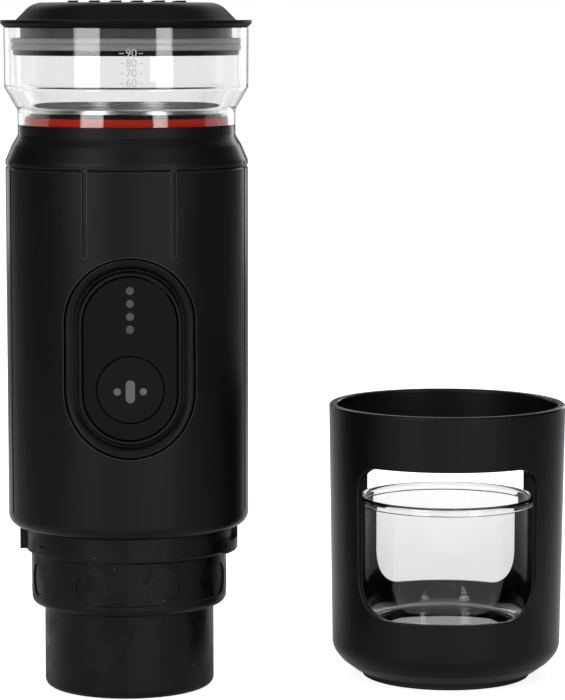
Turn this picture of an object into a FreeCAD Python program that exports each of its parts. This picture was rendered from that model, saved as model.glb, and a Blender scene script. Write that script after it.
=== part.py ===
import FreeCAD, Part

# Handheld espresso maker, in millimetres, +Z up. The origin is the centre of the outlet's rim, on the
# surface that the maker stands on. The control panel faces -Y. The cup holder is off the maker and
# stands beside it, on +X, with the cup inside. Every piece is a solid of its own, in parts/NODE.step.

import math
import os

Vector = FreeCAD.Vector

# ---- fits ---------------------------------------------------------------------------------------
slip_gap = 0.10          # between fixed pieces that slide together when they are assembled
running_gap = 0.05       # radial, a shaft in its bearing
free_gap = 0.30          # between pieces that move past one another
hair = 1e-6              # a length that counts as none

# ---- outlet cup and brew chamber ----------------------------------------------------------------
outlet_height = 25.3     # rim to the flange's lower face
outlet_inset = 3.9       # of the outlet's side inside the grip ring's
outlet_wall = 3.0
outlet_rim_round = 2.0
outlet_recess_round = 1.0
outlet_recess_depth = 12.0
outlet_ceiling = 2.2
flange_step = 0.1        # of the flange's edge inside the grip ring's
flange_thickness = 3.1
flange_round = 2.0
spigot_height = 3.0      # of the cup's ring that stands inside the grip ring
spout_radius = 5.0
spout_bore = 2.0
spout_length = 5.5
grip_inset = 1.7         # of the grip ring's side inside the collar's
grip_height = 13.2
grip_wall = 2.3
grip_flutes = 8
flute_phase = 20.4       # of the first flute from the front, degrees
flute_half_width = 4.7
flute_depth = 0.5
flute_low = 0.3          # of the flute's lower end above the ring's lower edge
flute_height = 10.0      # from the ring's lower edge to the flute's round top
well_wall = 3.7          # of the outlet cup round the basket
basket_wall = 0.6
basket_lift = 1.0        # of the basket above the floor of its well
basket_flange = 0.8
basket_hole_radius = 0.7
basket_corner = 1.2
basket_circles = 4       # of holes
basket_hole_inset = 6.0  # of the outermost circle inside the basket's wall
hole_spacing = 5.0       # along a circle of holes
edge_round = 0.5         # of small moulded edges

# ---- brew head ----------------------------------------------------------------------------------
collar_inset = 5.0       # of the collar's side inside the housing's
collar_height = 7.4
lug_depth = 1.7
lug_height = 6.1
lug_stop_angle = 7.0     # width of the tall stop at the end of each bayonet lug, degrees
lug_ramp_angle = 31.5
lug_ramp_height = 3.5
lug_root = 1.0           # how far a lug reaches into the collar
lug_sides = (0.0, 180.0)
notch_angles = (-56.0, 124.0)    # of the collar's locking notches from the front
notch_half_width = 2.2
notch_height = 0.7
notch_rise = 2.6         # above the collar's lower edge
notch_depth = 0.6
head_wall = 7.0
head_disc = 2.6
seal_height = 2.2
seal_width = 4.1
screen_thickness = 0.8
screen_hole_radius = 0.9
screen_circles = 3       # of holes
screen_hole_inset = 4.7  # of the outermost circle inside the screen's edge
screen_blank = 7.0       # radius of the innermost circle
screen_screw_radius = 1.5
screen_screw_head = 3.2
screen_screw_head_height = 1.6
screen_screw_length = 5.6
pressure_tube_radius = 2.4
pressure_tube_bore = 1.2
tube_seat = 1.0          # of brew head left under the pressure tube
screen_slot_width = 0.8
screen_slot_depth = 0.7

# ---- housing ------------------------------------------------------------------------------------
body_radius = 36.0
body_wall = 2.4
body_height = 107.3
body_bottom_round = 3.6
lip_thickness = 2.4
groove_width = 1.4
groove_depth = 0.7
side_groove_angles = (73.0, -73.0, 107.0, -107.0)
side_groove_start = 4.5  # above the housing's lower edge
top_groove_angles = (21.0, -21.0, 159.0, -159.0)
top_groove_dip = 0.25    # of the short grooves' lower ends below the panel's top
seam_groove = 0.5
shoulder_height = 12.23
shoulder_straight = 1.7
neck_inset = 3.7         # of the neck's side inside the housing's
neck_height = 2.93
neck_corner = (1.7, 5.83) # outward from the neck, and below the shoulder's top, of the slope's middle
skirt_depth = 3.9
skirt_wall = 2.0
ledge_thickness = 2.0
ledge_inset = 2.9        # of the ledge's bore inside the boiler cup
ledge_rise = 1.3         # of the ledge above the housing's seam
groove_overrun = 2.0     # how far a cutting tool starts outside the surface

# ---- control panel ------------------------------------------------------------------------------
panel_rise = 53.2        # of the panel's centre above the housing's lower edge
panel_half_straight = 10.1
bezel_radius = 19.15
bezel_sink = 1.2         # of the bezel's field below the housing's surface
bezel_lip_radius = 14.6
bezel_lip_sink = 0.8     # of the flat raised lip behind the housing's front line
bezel_depth = 5.2
face_radius = 13.5
face_sink = 1.4          # of the panel face behind that line
face_thickness = 2.0
face_ledge = 1.2
light_radius = 1.15
light_count = 4
light_pitch = 3.73
light_rise = 19.7        # of the top light above the panel's centre
light_proud = 0.03
light_back_gap = 0.3
button_radius = 9.5
button_gap = 0.45
button_drop = 8.95       # of the button below the panel's centre
button_flange = 10.4
button_flange_thickness = 0.8
button_stem_radius = 2.2
button_stem_length = 1.8
icon_drop = 0.55         # of the mark below the button's centre
icon_pill_width = 2.7
icon_pill_height = 6.6
icon_dot_radius = 1.05
icon_dot_offset = 3.77
icon_depth = 0.4
icon_proud = 0.04
board_gap = 5.4          # from the panel face's back to the board's front
board_thickness = 1.6
board_width = 21.0
board_drop = 16.2        # of its lower edge below the panel's centre
board_height = 39.0
switch_size = 6.0
switch_body = 1.0
switch_plunger = 0.7
switch_plunger_radius = 1.6
dome_inner = 4.7
dome_outer = 6.0
chip_width = 2.0
chip_height = 1.2
chip_thickness = 0.7

# ---- pump and motor -----------------------------------------------------------------------------
inner_clearance = 0.3    # of the inner frames inside the housing
frame_plate = 2.0
frame_height = 25.9      # underside of the lower plate to the upper face of the upper plate
frame_post_radius = 2.5
frame_post_inset = 4.0   # of the posts' centres inside the plates' edge
frame_post_angles = (30.0, 150.0, 210.0, 330.0)
frame_screw_angles = (10.0, 130.0, 230.0, 310.0)
frame_screw_radius = 1.25
frame_screw_head = 2.4
frame_screw_head_height = 1.6
frame_screw_length = 9.0
crank_x = 9.0
gear_teeth = 40
pinion_teeth = 10
gear_thickness = 3.5
pinion_thickness = 3.9
motor_side_gap = 2.62    # between the motor and the frames' edge
motor_yoke_gap = 0.6     # between the motor and the plunger's yoke
motor_height = 14.0
motor_wall = 0.8
motor_end = 2.0
rotor_gap = 1.0          # between the rotor and the magnets
magnet_thickness = 1.6
motor_shaft_radius = 1.0
pinion_lift = 1.6        # from the motor's top to the pinion's underside
crank_throw = 2.5
crank_pin_radius = 1.5
crank_shaft_radius = 2.0
crank_collar_radius = 4.0
clip_radius = 3.6
clip_thickness = 0.6
clip_groove = 0.4
crank_offset = 14.0      # from the pump body's end to the crank's axis
pump_width = 16.0
pump_height = 13.6
pump_inset = 5.3         # of the pump body's end inside the plates' edge
pump_bore_stop = 2.5
pump_axis_lift = 1.0     # of the plunger above the pump body's middle
pump_seal_inset = 3.0
plunger_end_gap = 1.0
plunger_radius = 3.0
plunger_stroke = 5.0
yoke_height = 5.0
yoke_wall = 1.6
seal_ring_radius = 0.9
tube_gap = 0.5           # of the suction tube inside the ledge, and beside the heater
suction_radius = 2.5
suction_bore = 1.5
delivery_offset = 12.0   # from the pump body's end
rotor_slot_radius = 1.0
rotor_slots = 3
magnet_angle = 140.0
magnet_starts = (20.0, 200.0)
clip_mouth = 1.6
crank_pin_overrun = 0.5

# ---- battery, boards and chassis ----------------------------------------------------------------
cell_gap = 0.4           # between two cells
cell_tube_gap = 1.9      # between a cell and the suction tube
cell_rib_gap = 0.45      # between the rear cell and the ribs behind it
cell_angles = (90.0, 210.0, 330.0)
cell_edge_round = 0.6
strip_pad_inset = 3.7    # of a strip's pad inside its cell's side
strip_thickness = 0.3
chassis_plate = 2.0
chassis_gap = 5.2        # from the pump frame's upper face to the chassis
chassis_drop = 6.2       # of the chassis roof's underside below the housing's seam
chassis_post_radius = 2.5
chassis_post_inset = 3.3
chassis_post_angles = (45.0, 135.0, 225.0, 315.0)
chassis_screw_length = 7.0
rib_thickness = 2.0
front_rib_x = 10.0
rear_rib_x = 7.0
charge_board_width = 18.0
charge_board_height = 26.0
socket_rise = 56.0       # above the housing's lower edge
socket_length = 7.3
socket_tongue = 0.7
socket_tongue_inset = 1.2
shaft_relief = 2.0
socket_width = 8.9
socket_height = 3.2
socket_wall = 0.3
cover_width = 15.0
cover_height = 10.0
cover_recess = 1.6
cover_round = 2.0
cover_sink = 0.1
cover_notch_radius = 2.0 # of the finger notch in the cover's upper edge
cover_notch_depth = 0.5

# ---- boiler and heater --------------------------------------------------------------------------
boiler_inset = 4.0       # of the boiler's side inside the neck's
boiler_wall = 0.8
boiler_height = 14.4
boiler_corner = 3.0
heater_thickness = 4.0
element_radius = 1.6
element_inset = 6.0      # of the element's circle inside the heater plate's edge
thermostat_radius = 6.0
thermostat_height = 3.2
thermostat_flange = 1.0
thermostat_step = 2.0
insulation_width = 4.0

# ---- water tank and lid -------------------------------------------------------------------------
gasket_height = 2.3
rim_width = 0.6          # of the collar's rim inside the gasket
rim_rise = 1.45          # of that rim above the gasket
gasket_round = 0.4
tank_neck_height = 4.3
tank_flare = 6.7
tank_overhang = 0.2      # of the tank's side outside the housing's
tank_taper = 0.1
tank_shelf_round = 0.8
tank_cove = 2.5
tank_floor = 0.3         # of the tank's inner corner above the outer one
tank_bend = 0.6          # of the neck's inner corner above the outer one
tank_height = 28.47
tank_wall = 2.0
lid_overhang = 0.95
lid_seat_inset = 0.4
lid_bevel_height = 1.3
lid_edge_height = 1.0
lid_dome_inset = 5.15
lid_dome_height = 5.0
lid_top_inset = 9.55
lid_edge_round = 0.3
lid_dome_round = 7.0
lid_cavity_round = 3.0
lid_dome_step = 0.6
lid_cavity = 2.2
lid_ridges = 6
ridge_inset = 6.95       # of the outer ridges inside the lid's flat top
ridge_width = 3.0
ridge_height = 0.5
ridge_end_round = 1.5
plug_inset = 4.9         # inside the tank's outer edge
plug_wall = 2.4
plug_band_gap = 0.66     # between the plug's band and the tank's wall
plug_band_height = 1.5
plug_depth = 8.0
plug_seal_height = 3.5
seal_lip_height = 1.3
seal_lip_round = 0.4
seal_waist = 0.5

# ---- cup holder and cup -------------------------------------------------------------------------
holder_gap = 25.1        # between the housing and the holder
holder_y = 6.1
holder_yaw = -6.16
holder_height = 83.6
holder_wall = 2.4
holder_lug_gap = 0.8     # between the bayonet lugs and the holder's bore
holder_taper = 1.2
holder_base_z = 8.5
holder_foot_inset = 6.7
holder_chamfer = (2.7, 5.2)
holder_foot_z = 2.3
holder_floor_z = 15.0
holder_floor = 2.5
holder_hollow_inset = 3.0
holder_round = 6.0
holder_floor_round = 2.0
window_inner_y = 20.0
foot_round = 0.4
holder_rim_round = 0.9
front_half_angle = 49.3  # from a window's middle to its sides, which run towards the axis
back_half_angle = 46.6
front_window_rise = 6.7  # of its lower edge above the holder's floor
back_window_rise = 7.6
window_edge_round = 0.5
window_drop = 16.5       # of their upper edges below the holder's rim
window_low_round = 12.0
window_top_round = 7.5
foot_inset = 2.4         # of the foot's side inside the holder's lower edge
foot_width = 2.1
cup_clearance = 6.2      # between the cup and the holder's bore
cup_taper = 0.5
cup_height = 40.2
cup_wall = 1.8
cup_floor = 1.8
cup_corner = 4.0
cup_inner_corner = 3.0
cup_lip = 0.5            # of the rim's bead outside the cup's side
cup_lip_height = 2.2
cup_rim_round = 1.1
cup_lip_blend = 0.4

# ---- sizes and levels worked out from those above -----------------------------------------------
collar_radius = body_radius - collar_inset
grip_radius = collar_radius - grip_inset
outlet_radius = grip_radius - outlet_inset
head_bore = collar_radius - head_wall
neck_radius = body_radius - neck_inset
boiler_radius = neck_radius - boiler_inset
tank_radius = body_radius + tank_overhang
grip_z = outlet_height + flange_thickness
collar_z = grip_z + grip_height
body_z = collar_z + collar_height
seam_z = body_z + body_height
shoulder_top_z = seam_z + shoulder_height
tank_top_z = shoulder_top_z + tank_height
body_bore = body_radius - body_wall
panel_centre_z = body_z + panel_rise
light_top_z = panel_centre_z + light_rise
button_centre_z = panel_centre_z - button_drop
icon_centre_z = button_centre_z - icon_drop
board_bottom_z = panel_centre_z - board_drop
board_top_z = board_bottom_z + board_height
socket_z = body_z + socket_rise
bezel_lip_y = body_radius - bezel_lip_sink
face_y = body_radius - face_sink
cover_recess_y = body_radius - cover_recess
charge_board_y = cover_recess_y - socket_length - board_thickness
inner_radius = body_bore - inner_clearance
grip_bore = grip_radius - grip_wall
flange_radius = grip_radius - flange_step
basket_radius = outlet_radius - well_wall - slip_gap
lug_radius = collar_radius + lug_depth
frame_screw_circle = (head_bore + collar_radius) / 2
frame_post_circle = inner_radius - frame_post_inset
chassis_post_circle = inner_radius - chassis_post_inset
ledge_bore = boiler_radius - ledge_inset
suction_x = -(ledge_bore - suction_radius - tube_gap)
heater_radius = -suction_x - suction_radius - tube_gap
heater_element_ring = heater_radius - element_inset
pump_left_x = pump_inset - inner_radius
delivery_x = pump_left_x + delivery_offset
skirt_radius = body_bore - slip_gap
boss_radius = grip_bore - free_gap
basket_rim_z = grip_z + spigot_height + basket_flange
basket_bottom_z = outlet_recess_depth + outlet_ceiling + basket_lift
boss_z = basket_rim_z + seal_height
head_disc_z = boss_z + head_disc
frame_z = body_z + lip_thickness
deck_z = frame_z + frame_plate
frame_top_z = frame_z + frame_height
yoke_half_x = crank_throw + crank_pin_radius + plunger_stroke / 2 + free_gap
yoke_half_y = crank_throw + crank_pin_radius + free_gap
motor_near_y = yoke_half_y + yoke_wall + motor_yoke_gap
motor_span = inner_radius - motor_side_gap + motor_near_y
motor_y = (motor_span ** 2 - crank_x ** 2) / (2 * motor_span)
motor_radius = motor_y - motor_near_y
rotor_radius = motor_radius - motor_wall - magnet_thickness - rotor_gap
gear_module = 2 * motor_y / (gear_teeth + pinion_teeth)
motor_top_z = deck_z + motor_height
pinion_z = motor_top_z + pinion_lift
gear_z = pinion_z + (pinion_thickness - gear_thickness) / 2
plunger_z = deck_z + pump_height / 2 + pump_axis_lift
pump_right_x = crank_x - crank_offset
chassis_z = frame_top_z + chassis_gap
pack_z = chassis_z + chassis_plate
cell_z = pack_z + strip_thickness
chassis_top_z = seam_z - chassis_drop
cell_length = chassis_top_z - strip_thickness - cell_z
cell_radius = (-suction_x - suction_radius - cell_tube_gap - cell_gap / 2) / 2
cell_spacing = 2 * cell_radius + cell_gap
cell_circle = cell_spacing / 2 / math.cos(math.pi / 6)
strip_pad_radius = cell_radius - strip_pad_inset
pack_centre_y = charge_board_y - rib_thickness - cell_rib_gap - cell_radius - cell_circle
boiler_z = seam_z + ledge_rise + ledge_thickness
ledge_z = boiler_z - ledge_thickness
heater_z = boiler_z - heater_thickness
face_back_y = face_y - face_thickness
board_y = face_back_y - board_gap
lid_edge_z = tank_top_z + lid_bevel_height
lid_shelf_z = lid_edge_z + lid_edge_height
lid_top_z = lid_shelf_z + lid_dome_height + lid_dome_step
plug_z = tank_top_z - plug_depth
tank_base_radius = tank_radius - tank_taper
tank_neck_radius = neck_radius
neck_bore = tank_neck_radius - tank_wall
lid_radius = tank_radius + lid_overhang
lid_seat_radius = tank_radius - lid_seat_inset
lid_dome_radius = lid_radius - lid_dome_inset
lid_top_radius = lid_radius - lid_top_inset
lid_flat_radius = lid_top_radius - lid_dome_round / 2
ridge_reach = lid_flat_radius - ridge_inset - ridge_width / 2
ridge_pitch = 2 * ridge_reach / (lid_ridges - 1)
plug_radius = tank_radius - plug_inset
holder_bore = lug_radius + holder_lug_gap
holder_radius = holder_bore + holder_wall
holder_x = body_radius + holder_gap + holder_radius
holder_base_radius = holder_radius - holder_taper
holder_foot_edge = holder_base_radius - holder_foot_inset
foot_radius = holder_foot_edge - foot_inset
holder_recess = foot_radius - foot_width - edge_round
window_top_z = holder_height - window_drop
cup_radius = holder_bore - cup_clearance
cup_base_radius = cup_radius - cup_taper


# ---- shape helpers ------------------------------------------------------------------------------
def rounded_wire(corners):
    """A closed wire in the XZ plane through (x, z, corner radius) points, with tangent arcs."""
    points = [Vector(c[0], 0, c[1]) for c in corners]
    edges, ends = [], []
    for i, corner in enumerate(corners):
        here, before, after = points[i], points[i - 1], points[(i + 1) % len(points)]
        to_before = (before - here).normalize()
        to_after = (after - here).normalize()
        radius = corner[2] if len(corner) > 2 else 0.0
        if radius <= 0:
            ends.append((here, here))
            continue
        half = to_before.getAngle(to_after) / 2
        reach = radius / math.tan(half)
        start, stop = here + to_before * reach, here + to_after * reach
        centre = here + (to_before + to_after).normalize() * (radius / math.sin(half))
        middle = centre + (here - centre).normalize() * radius
        edges.append((i, Part.Arc(start, middle, stop).toShape()))
        ends.append((start, stop))
    arcs = dict(edges)
    ordered = []
    for i in range(len(points)):
        if i in arcs:
            ordered.append(arcs[i])
        start, stop = ends[i][1], ends[(i + 1) % len(points)][0]
        if start.distanceToPoint(stop) > hair:
            ordered.append(Part.LineSegment(start, stop).toShape())
    return Part.Wire(ordered)


def turned(corners):
    """A solid of revolution about Z from (radius, z, corner radius) points."""
    return Part.Face(rounded_wire(corners)).revolve(Vector(0, 0, 0), Vector(0, 0, 1), 360)


def ring(inner, outer, low, high):
    return cylinder(outer, low, high).cut(cylinder(inner, low, high))


def cylinder(radius, low, high, x=0.0, y=0.0):
    return Part.makeCylinder(radius, high - low, Vector(x, y, low))


def block(x0, x1, y0, y1, z0, z1):
    return Part.makeBox(x1 - x0, y1 - y0, z1 - z0, Vector(x0, y0, z0))


def front_prism(corners, outer_y, inner_y):
    """An XZ outline pushed from y = -outer_y to y = -inner_y."""
    face = Part.Face(rounded_wire(corners))
    face.translate(Vector(0, -outer_y, 0))
    return face.extrude(Vector(0, outer_y - inner_y, 0))


def radial_prism(half_angle, low, high, low_round, top_round, outer_y, inner_y):
    """A front cut whose sides run towards the axis, with rounded lower and upper corners."""
    slope = math.tan(math.radians(half_angle))
    outline = [Vector(-inner_y * slope, -inner_y, low), Vector(-outer_y * slope, -outer_y, low),
               Vector(outer_y * slope, -outer_y, low), Vector(inner_y * slope, -inner_y, low)]
    wedge = Part.Face(Part.makePolygon(outline + outline[:1])).extrude(Vector(0, 0, high - low))
    for level, radius in ((low, low_round), (high, top_round)):
        ends = [(edge, edge.Vertexes[0].Point, edge.Vertexes[-1].Point) for edge in wedge.Edges]
        sides = [edge for edge, a, b in ends
                 if abs(a.z - level) + abs(b.z - level) < hair and abs(a.y - b.y) > hair]
        wedge = wedge.makeFillet(radius, sides)
    return wedge


def stadium(radius, half_straight, centre_z, outer_y, inner_y):
    reach = half_straight + radius
    corners = [(-radius, centre_z - reach, radius), (radius, centre_z - reach, radius),
               (radius, centre_z + reach, radius), (-radius, centre_z + reach, radius)]
    return front_prism(corners, outer_y, inner_y)


def panel_stadium(radius, outer_y, inner_y):
    return stadium(radius, panel_half_straight, panel_centre_z, outer_y, inner_y)


def front_disc(radius, x, z, outer_y, inner_y):
    return Part.makeCylinder(radius, outer_y - inner_y, Vector(x, -outer_y, z), Vector(0, 1, 0))


def on_circle(radius, angle):
    return radius * math.cos(math.radians(angle)), radius * math.sin(math.radians(angle))


def turned_about_z(shape, angle):
    copy = shape.copy()
    copy.rotate(Vector(0, 0, 0), Vector(0, 0, 1), angle)
    return copy


def sector(inner, outer, low, high, start_angle, angle):
    face_line = Part.Face(rounded_wire([(inner, low), (outer, low), (outer, high), (inner, high)]))
    piece = face_line.revolve(Vector(0, 0, 0), Vector(0, 0, 1), angle)
    return turned_about_z(piece, start_angle)


def joined(shapes):
    first, rest = shapes[0], shapes[1:]
    return first.fuse(rest).removeSplitter() if rest else first


def group(solids):
    return Part.makeCompound(solids)


def gear_blank(teeth, low, high, first_angle):
    """A spur gear with straight-flanked teeth, thin enough to run with backlash."""
    pitch_radius = gear_module * teeth / 2
    tip, root = pitch_radius + 0.75 * gear_module, pitch_radius - 1.1 * gear_module
    step = 2 * math.pi / teeth
    outline = []
    for tooth in range(teeth):
        middle = math.radians(first_angle) + tooth * step
        for radius, share in ((root, -0.27), (tip, -0.11), (tip, 0.11), (root, 0.27)):
            angle = middle + share * step
            outline.append(Vector(radius * math.cos(angle), radius * math.sin(angle), low))
    face = Part.Face(Part.makePolygon(outline + outline[:1]))
    return face.extrude(Vector(0, 0, high - low))


# ---- brew outlet, the lower unit ----------------------------------------------------------------
def make_outlet_cup():
    outer = turned([(0, 0), (outlet_radius, 0, outlet_rim_round), (outlet_radius, outlet_height),
                    (flange_radius, outlet_height, flange_round), (flange_radius, grip_z),
                    (grip_bore - slip_gap, grip_z), (grip_bore - slip_gap, grip_z + spigot_height),
                    (0, grip_z + spigot_height)])
    recess_radius = outlet_radius - outlet_wall
    recess = turned([(0, 0), (recess_radius, 0), (recess_radius, outlet_recess_depth, outlet_recess_round),
                     (0, outlet_recess_depth)])
    well_floor = outlet_recess_depth + outlet_ceiling
    well = cylinder(basket_radius + slip_gap, well_floor, grip_z + spigot_height)
    spout = cylinder(spout_radius, outlet_recess_depth - spout_length, outlet_recess_depth)
    bore = cylinder(spout_bore, outlet_recess_depth - spout_length, well_floor)
    return outer.cut(recess).cut(well).fuse(spout).removeSplitter().cut(bore)


def make_grip_ring():
    body = turned([(grip_bore, grip_z), (grip_radius, grip_z, edge_round),
                   (grip_radius, collar_z, edge_round), (grip_bore, collar_z)])
    half = flute_half_width
    low, top = grip_z + flute_low, grip_z + flute_height
    flute = front_prism([(-half, low, half), (half, low, half), (half, top, half), (-half, top, half)],
                        grip_radius + groove_overrun, 0.0)
    flute = flute.common(ring(grip_radius - flute_depth, grip_radius + groove_overrun, grip_z, collar_z))
    return body.cut([turned_about_z(flute, flute_phase + i * 360 / grip_flutes) for i in range(grip_flutes)])


def make_filter_basket():
    flange_radius_in = grip_bore - free_gap
    top, bottom = basket_rim_z, basket_bottom_z
    bore = basket_radius - basket_wall
    shell = turned([(0, bottom), (basket_radius, bottom, basket_corner),
                    (basket_radius, top - basket_flange),
                    (flange_radius_in, top - basket_flange), (flange_radius_in, top), (bore, top),
                    (bore, bottom + basket_wall, basket_corner - basket_wall), (0, bottom + basket_wall)])
    return shell.cut(hole_field(0.0, bore - basket_hole_inset, basket_circles, basket_hole_radius,
                                bottom, bottom + basket_wall))


def hole_field(inner, outer, circles, radius, low, high):
    """Upright holes on evenly spaced circles, from the innermost circle to the outermost one."""
    holes = []
    for step in range(circles):
        circle = inner + (outer - inner) * step / (circles - 1)
        count = max(1, int(2 * math.pi * circle / hole_spacing))
        for i in range(count):
            x, y = on_circle(circle, i * 360 / count)
            holes.append(cylinder(radius, low, high, x, y))
    return holes


def make_brew_seal():
    outer = grip_bore - 2 * free_gap
    return turned([(outer - seal_width, basket_rim_z), (outer, basket_rim_z, gasket_round), (outer, boss_z),
                   (outer - seal_width, boss_z)])


# ---- brew head ----------------------------------------------------------------------------------
def make_brew_head():
    spigot = collar_radius - free_gap
    body = turned([(0, boss_z), (boss_radius, boss_z, edge_round), (boss_radius, collar_z),
                   (collar_radius, collar_z, edge_round), (collar_radius, body_z), (spigot, body_z),
                   (spigot, frame_z), (head_bore, frame_z), (head_bore, head_disc_z), (0, head_disc_z)])
    lugs = []
    for side in lug_sides:
        stop = sector(collar_radius - lug_root, lug_radius, collar_z, collar_z + lug_height,
                      side - lug_stop_angle / 2, lug_stop_angle)
        ramp = sector(collar_radius - lug_root, lug_radius, collar_z, collar_z + lug_ramp_height,
                      side + lug_stop_angle / 2 - lug_ramp_angle, lug_ramp_angle)
        lugs += [stop, ramp]
    body = body.fuse(lugs).removeSplitter()
    half, low = notch_half_width, collar_z + notch_rise
    notch = front_prism([(-half, low), (half, low), (half, low + notch_height), (-half, low + notch_height)],
                        collar_radius + groove_overrun, collar_radius - notch_depth)
    notches = [turned_about_z(notch, angle) for angle in notch_angles]
    screw_hole = cylinder(screen_screw_radius, boss_z, head_disc_z)
    feed = cylinder(pressure_tube_radius, boss_z + tube_seat, head_disc_z, delivery_x)
    feed_bore = cylinder(pressure_tube_bore, boss_z, boss_z + tube_seat, delivery_x)
    pilots = [cylinder(frame_screw_radius, deck_z - frame_screw_length, frame_z,
                       *on_circle(frame_screw_circle, angle)) for angle in frame_screw_angles]
    return body.cut([screw_hole, feed, feed_bore] + pilots + notches)


def screen_radius():
    return grip_bore - 2 * free_gap - seal_width - 2 * free_gap


def make_shower_screen():
    low = boss_z - screen_thickness
    plate = turned([(0, low), (screen_radius(), low, screen_thickness / 3), (screen_radius(), boss_z),
                    (0, boss_z)])
    holes = hole_field(screen_blank, screen_radius() - screen_hole_inset, screen_circles,
                       screen_hole_radius, boss_z - screen_thickness, boss_z)
    centre = cylinder(screen_screw_radius + slip_gap, boss_z - screen_thickness, boss_z)
    return plate.cut(holes + [centre])


def make_shower_screw():
    seat = boss_z - screen_thickness
    head = turned([(0, seat - screen_screw_head_height),
                   (screen_screw_head, seat - screen_screw_head_height, screen_screw_head_height / 2),
                   (screen_screw_head, seat), (screen_screw_radius, seat),
                   (screen_screw_radius, seat + screen_screw_length), (0, seat + screen_screw_length)])
    half = screen_slot_width / 2
    slot = block(-half, half, -screen_screw_head, screen_screw_head,
                 seat - screen_screw_head_height,
                 seat - screen_screw_head_height + screen_slot_depth)
    return head.cut(slot)


def make_pressure_tube():
    low, high = boss_z + tube_seat, deck_z
    tube = cylinder(pressure_tube_radius, low, high, delivery_x)
    return tube.cut(cylinder(pressure_tube_bore, low, high, delivery_x))


# ---- housing ------------------------------------------------------------------------------------
def surface_groove(angle, low, high):
    """A round-ended upright groove in the housing's surface, at an angle from the front."""
    half = groove_width / 2
    length = (high - low) / 2 - half
    prism = stadium(half, length, (low + high) / 2, body_radius + groove_overrun,
                    body_radius - groove_depth)
    return turned_about_z(prism, angle)


def cover_prism(margin, outer_y, inner_y):
    """The charging cover's outline, on the back, grown by a margin."""
    half = cover_width / 2 + margin
    low, high = socket_z - cover_height / 2 - margin, socket_z + cover_height / 2 + margin
    corners = [(-half, low, cover_round), (half, low, cover_round),
               (half, high, cover_round), (-half, high, cover_round)]
    return turned_about_z(front_prism(corners, outer_y, inner_y), 180)


def socket_prism(margin, outer_y, inner_y):
    half_z, half_x = socket_height / 2 + margin, socket_width / 2 + margin
    low, high = socket_z - half_z, socket_z + half_z
    corners = [(-half_x, low, half_z), (half_x, low, half_z), (half_x, high, half_z),
               (-half_x, high, half_z)]
    return turned_about_z(front_prism(corners, outer_y, inner_y), 180)


def long_grooves():
    return [surface_groove(angle, body_z + side_groove_start, seam_z + shoulder_straight)
            for angle in side_groove_angles]


def short_grooves():
    top = seam_z + shoulder_straight - edge_round
    low = panel_centre_z + panel_half_straight + bezel_radius - top_groove_dip
    return [surface_groove(angle, low, top) for angle in top_groove_angles]


def make_housing_shell():
    lip_bore = collar_radius - free_gap + slip_gap
    shell = turned([(lip_bore, body_z), (body_radius, body_z, body_bottom_round),
                    (body_radius, seam_z - seam_groove), (body_radius - seam_groove, seam_z),
                    (body_bore, seam_z), (body_bore, frame_z), (lip_bore, frame_z)])
    window = panel_stadium(bezel_radius, body_radius + groove_overrun, body_radius / 2)
    recess = cover_prism(slip_gap, body_radius + groove_overrun, cover_recess_y)
    mouth = socket_prism(slip_gap, body_radius + groove_overrun, body_bore - body_wall)
    return shell.cut(long_grooves() + short_grooves() + [window, recess, mouth])


def make_shoulder_collar():
    skirt = skirt_radius
    slope_out, slope_down = neck_corner
    corner_z = seam_z + shoulder_straight
    neck_z = shoulder_top_z - neck_height
    bore = boiler_radius + slip_gap
    rim_z = shoulder_top_z + gasket_height + rim_rise
    profile = [(skirt - skirt_wall, seam_z - skirt_depth), (skirt, seam_z - skirt_depth, edge_round),
               (skirt, seam_z), (body_radius - seam_groove, seam_z),
               (body_radius, seam_z + seam_groove), (body_radius, corner_z, 2.0),
               (neck_radius + slope_out, shoulder_top_z - slope_down, 2.0),
               (neck_radius + edge_round, neck_z - 2 * edge_round, 1.5),
               (neck_radius, neck_z), (neck_radius, shoulder_top_z, gasket_round),
               (bore + rim_width, shoulder_top_z), (bore + rim_width, rim_z, edge_round), (bore, rim_z),
               (bore, boiler_z), (ledge_bore, boiler_z), (ledge_bore, ledge_z),
               (skirt - skirt_wall, ledge_z)]
    return turned(profile).cut(long_grooves() + short_grooves())


def make_bezel_ring():
    field_radius = body_radius - bezel_sink
    reach = panel_half_straight + 2 * bezel_radius
    field = ring(body_bore, field_radius, panel_centre_z - reach, panel_centre_z + reach)
    field = field.common(panel_stadium(bezel_radius - slip_gap, body_radius, 0.0))
    lip = panel_stadium(bezel_lip_radius, bezel_lip_y, bezel_lip_y - bezel_depth)
    seat = panel_stadium(face_radius, bezel_lip_y, face_back_y)
    opening = panel_stadium(face_radius - face_ledge, bezel_lip_y, bezel_lip_y - bezel_depth)
    through = panel_stadium(face_radius - face_ledge, body_radius, 0.0)
    return field.cut(through).fuse(lip).removeSplitter().cut([seat, opening])


def light_heights():
    return [light_top_z - i * light_pitch for i in range(light_count)]


def make_panel_face():
    plate = panel_stadium(face_radius - slip_gap, face_y, face_back_y)
    button_hole = front_disc(button_radius + button_gap, 0, button_centre_z, face_y, face_back_y)
    lights = [front_disc(light_radius, 0, z, face_y, face_back_y) for z in light_heights()]
    return plate.cut([button_hole] + lights)


def make_light_windows():
    chip_front = board_y + chip_thickness
    return group([front_disc(light_radius, 0, z, face_y + light_proud, chip_front + light_back_gap)
                  for z in light_heights()])


def make_brew_button():
    disc = front_disc(button_radius, 0, button_centre_z, face_y, face_back_y - running_gap)
    back = face_back_y - running_gap - button_flange_thickness
    flange = front_disc(button_flange, 0, button_centre_z, face_back_y - running_gap, back)
    stem = front_disc(button_stem_radius, 0, button_centre_z, back, back - button_stem_length)
    return joined([disc, flange, stem]).cut(icon_solids(face_y, face_y - icon_depth))


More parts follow.
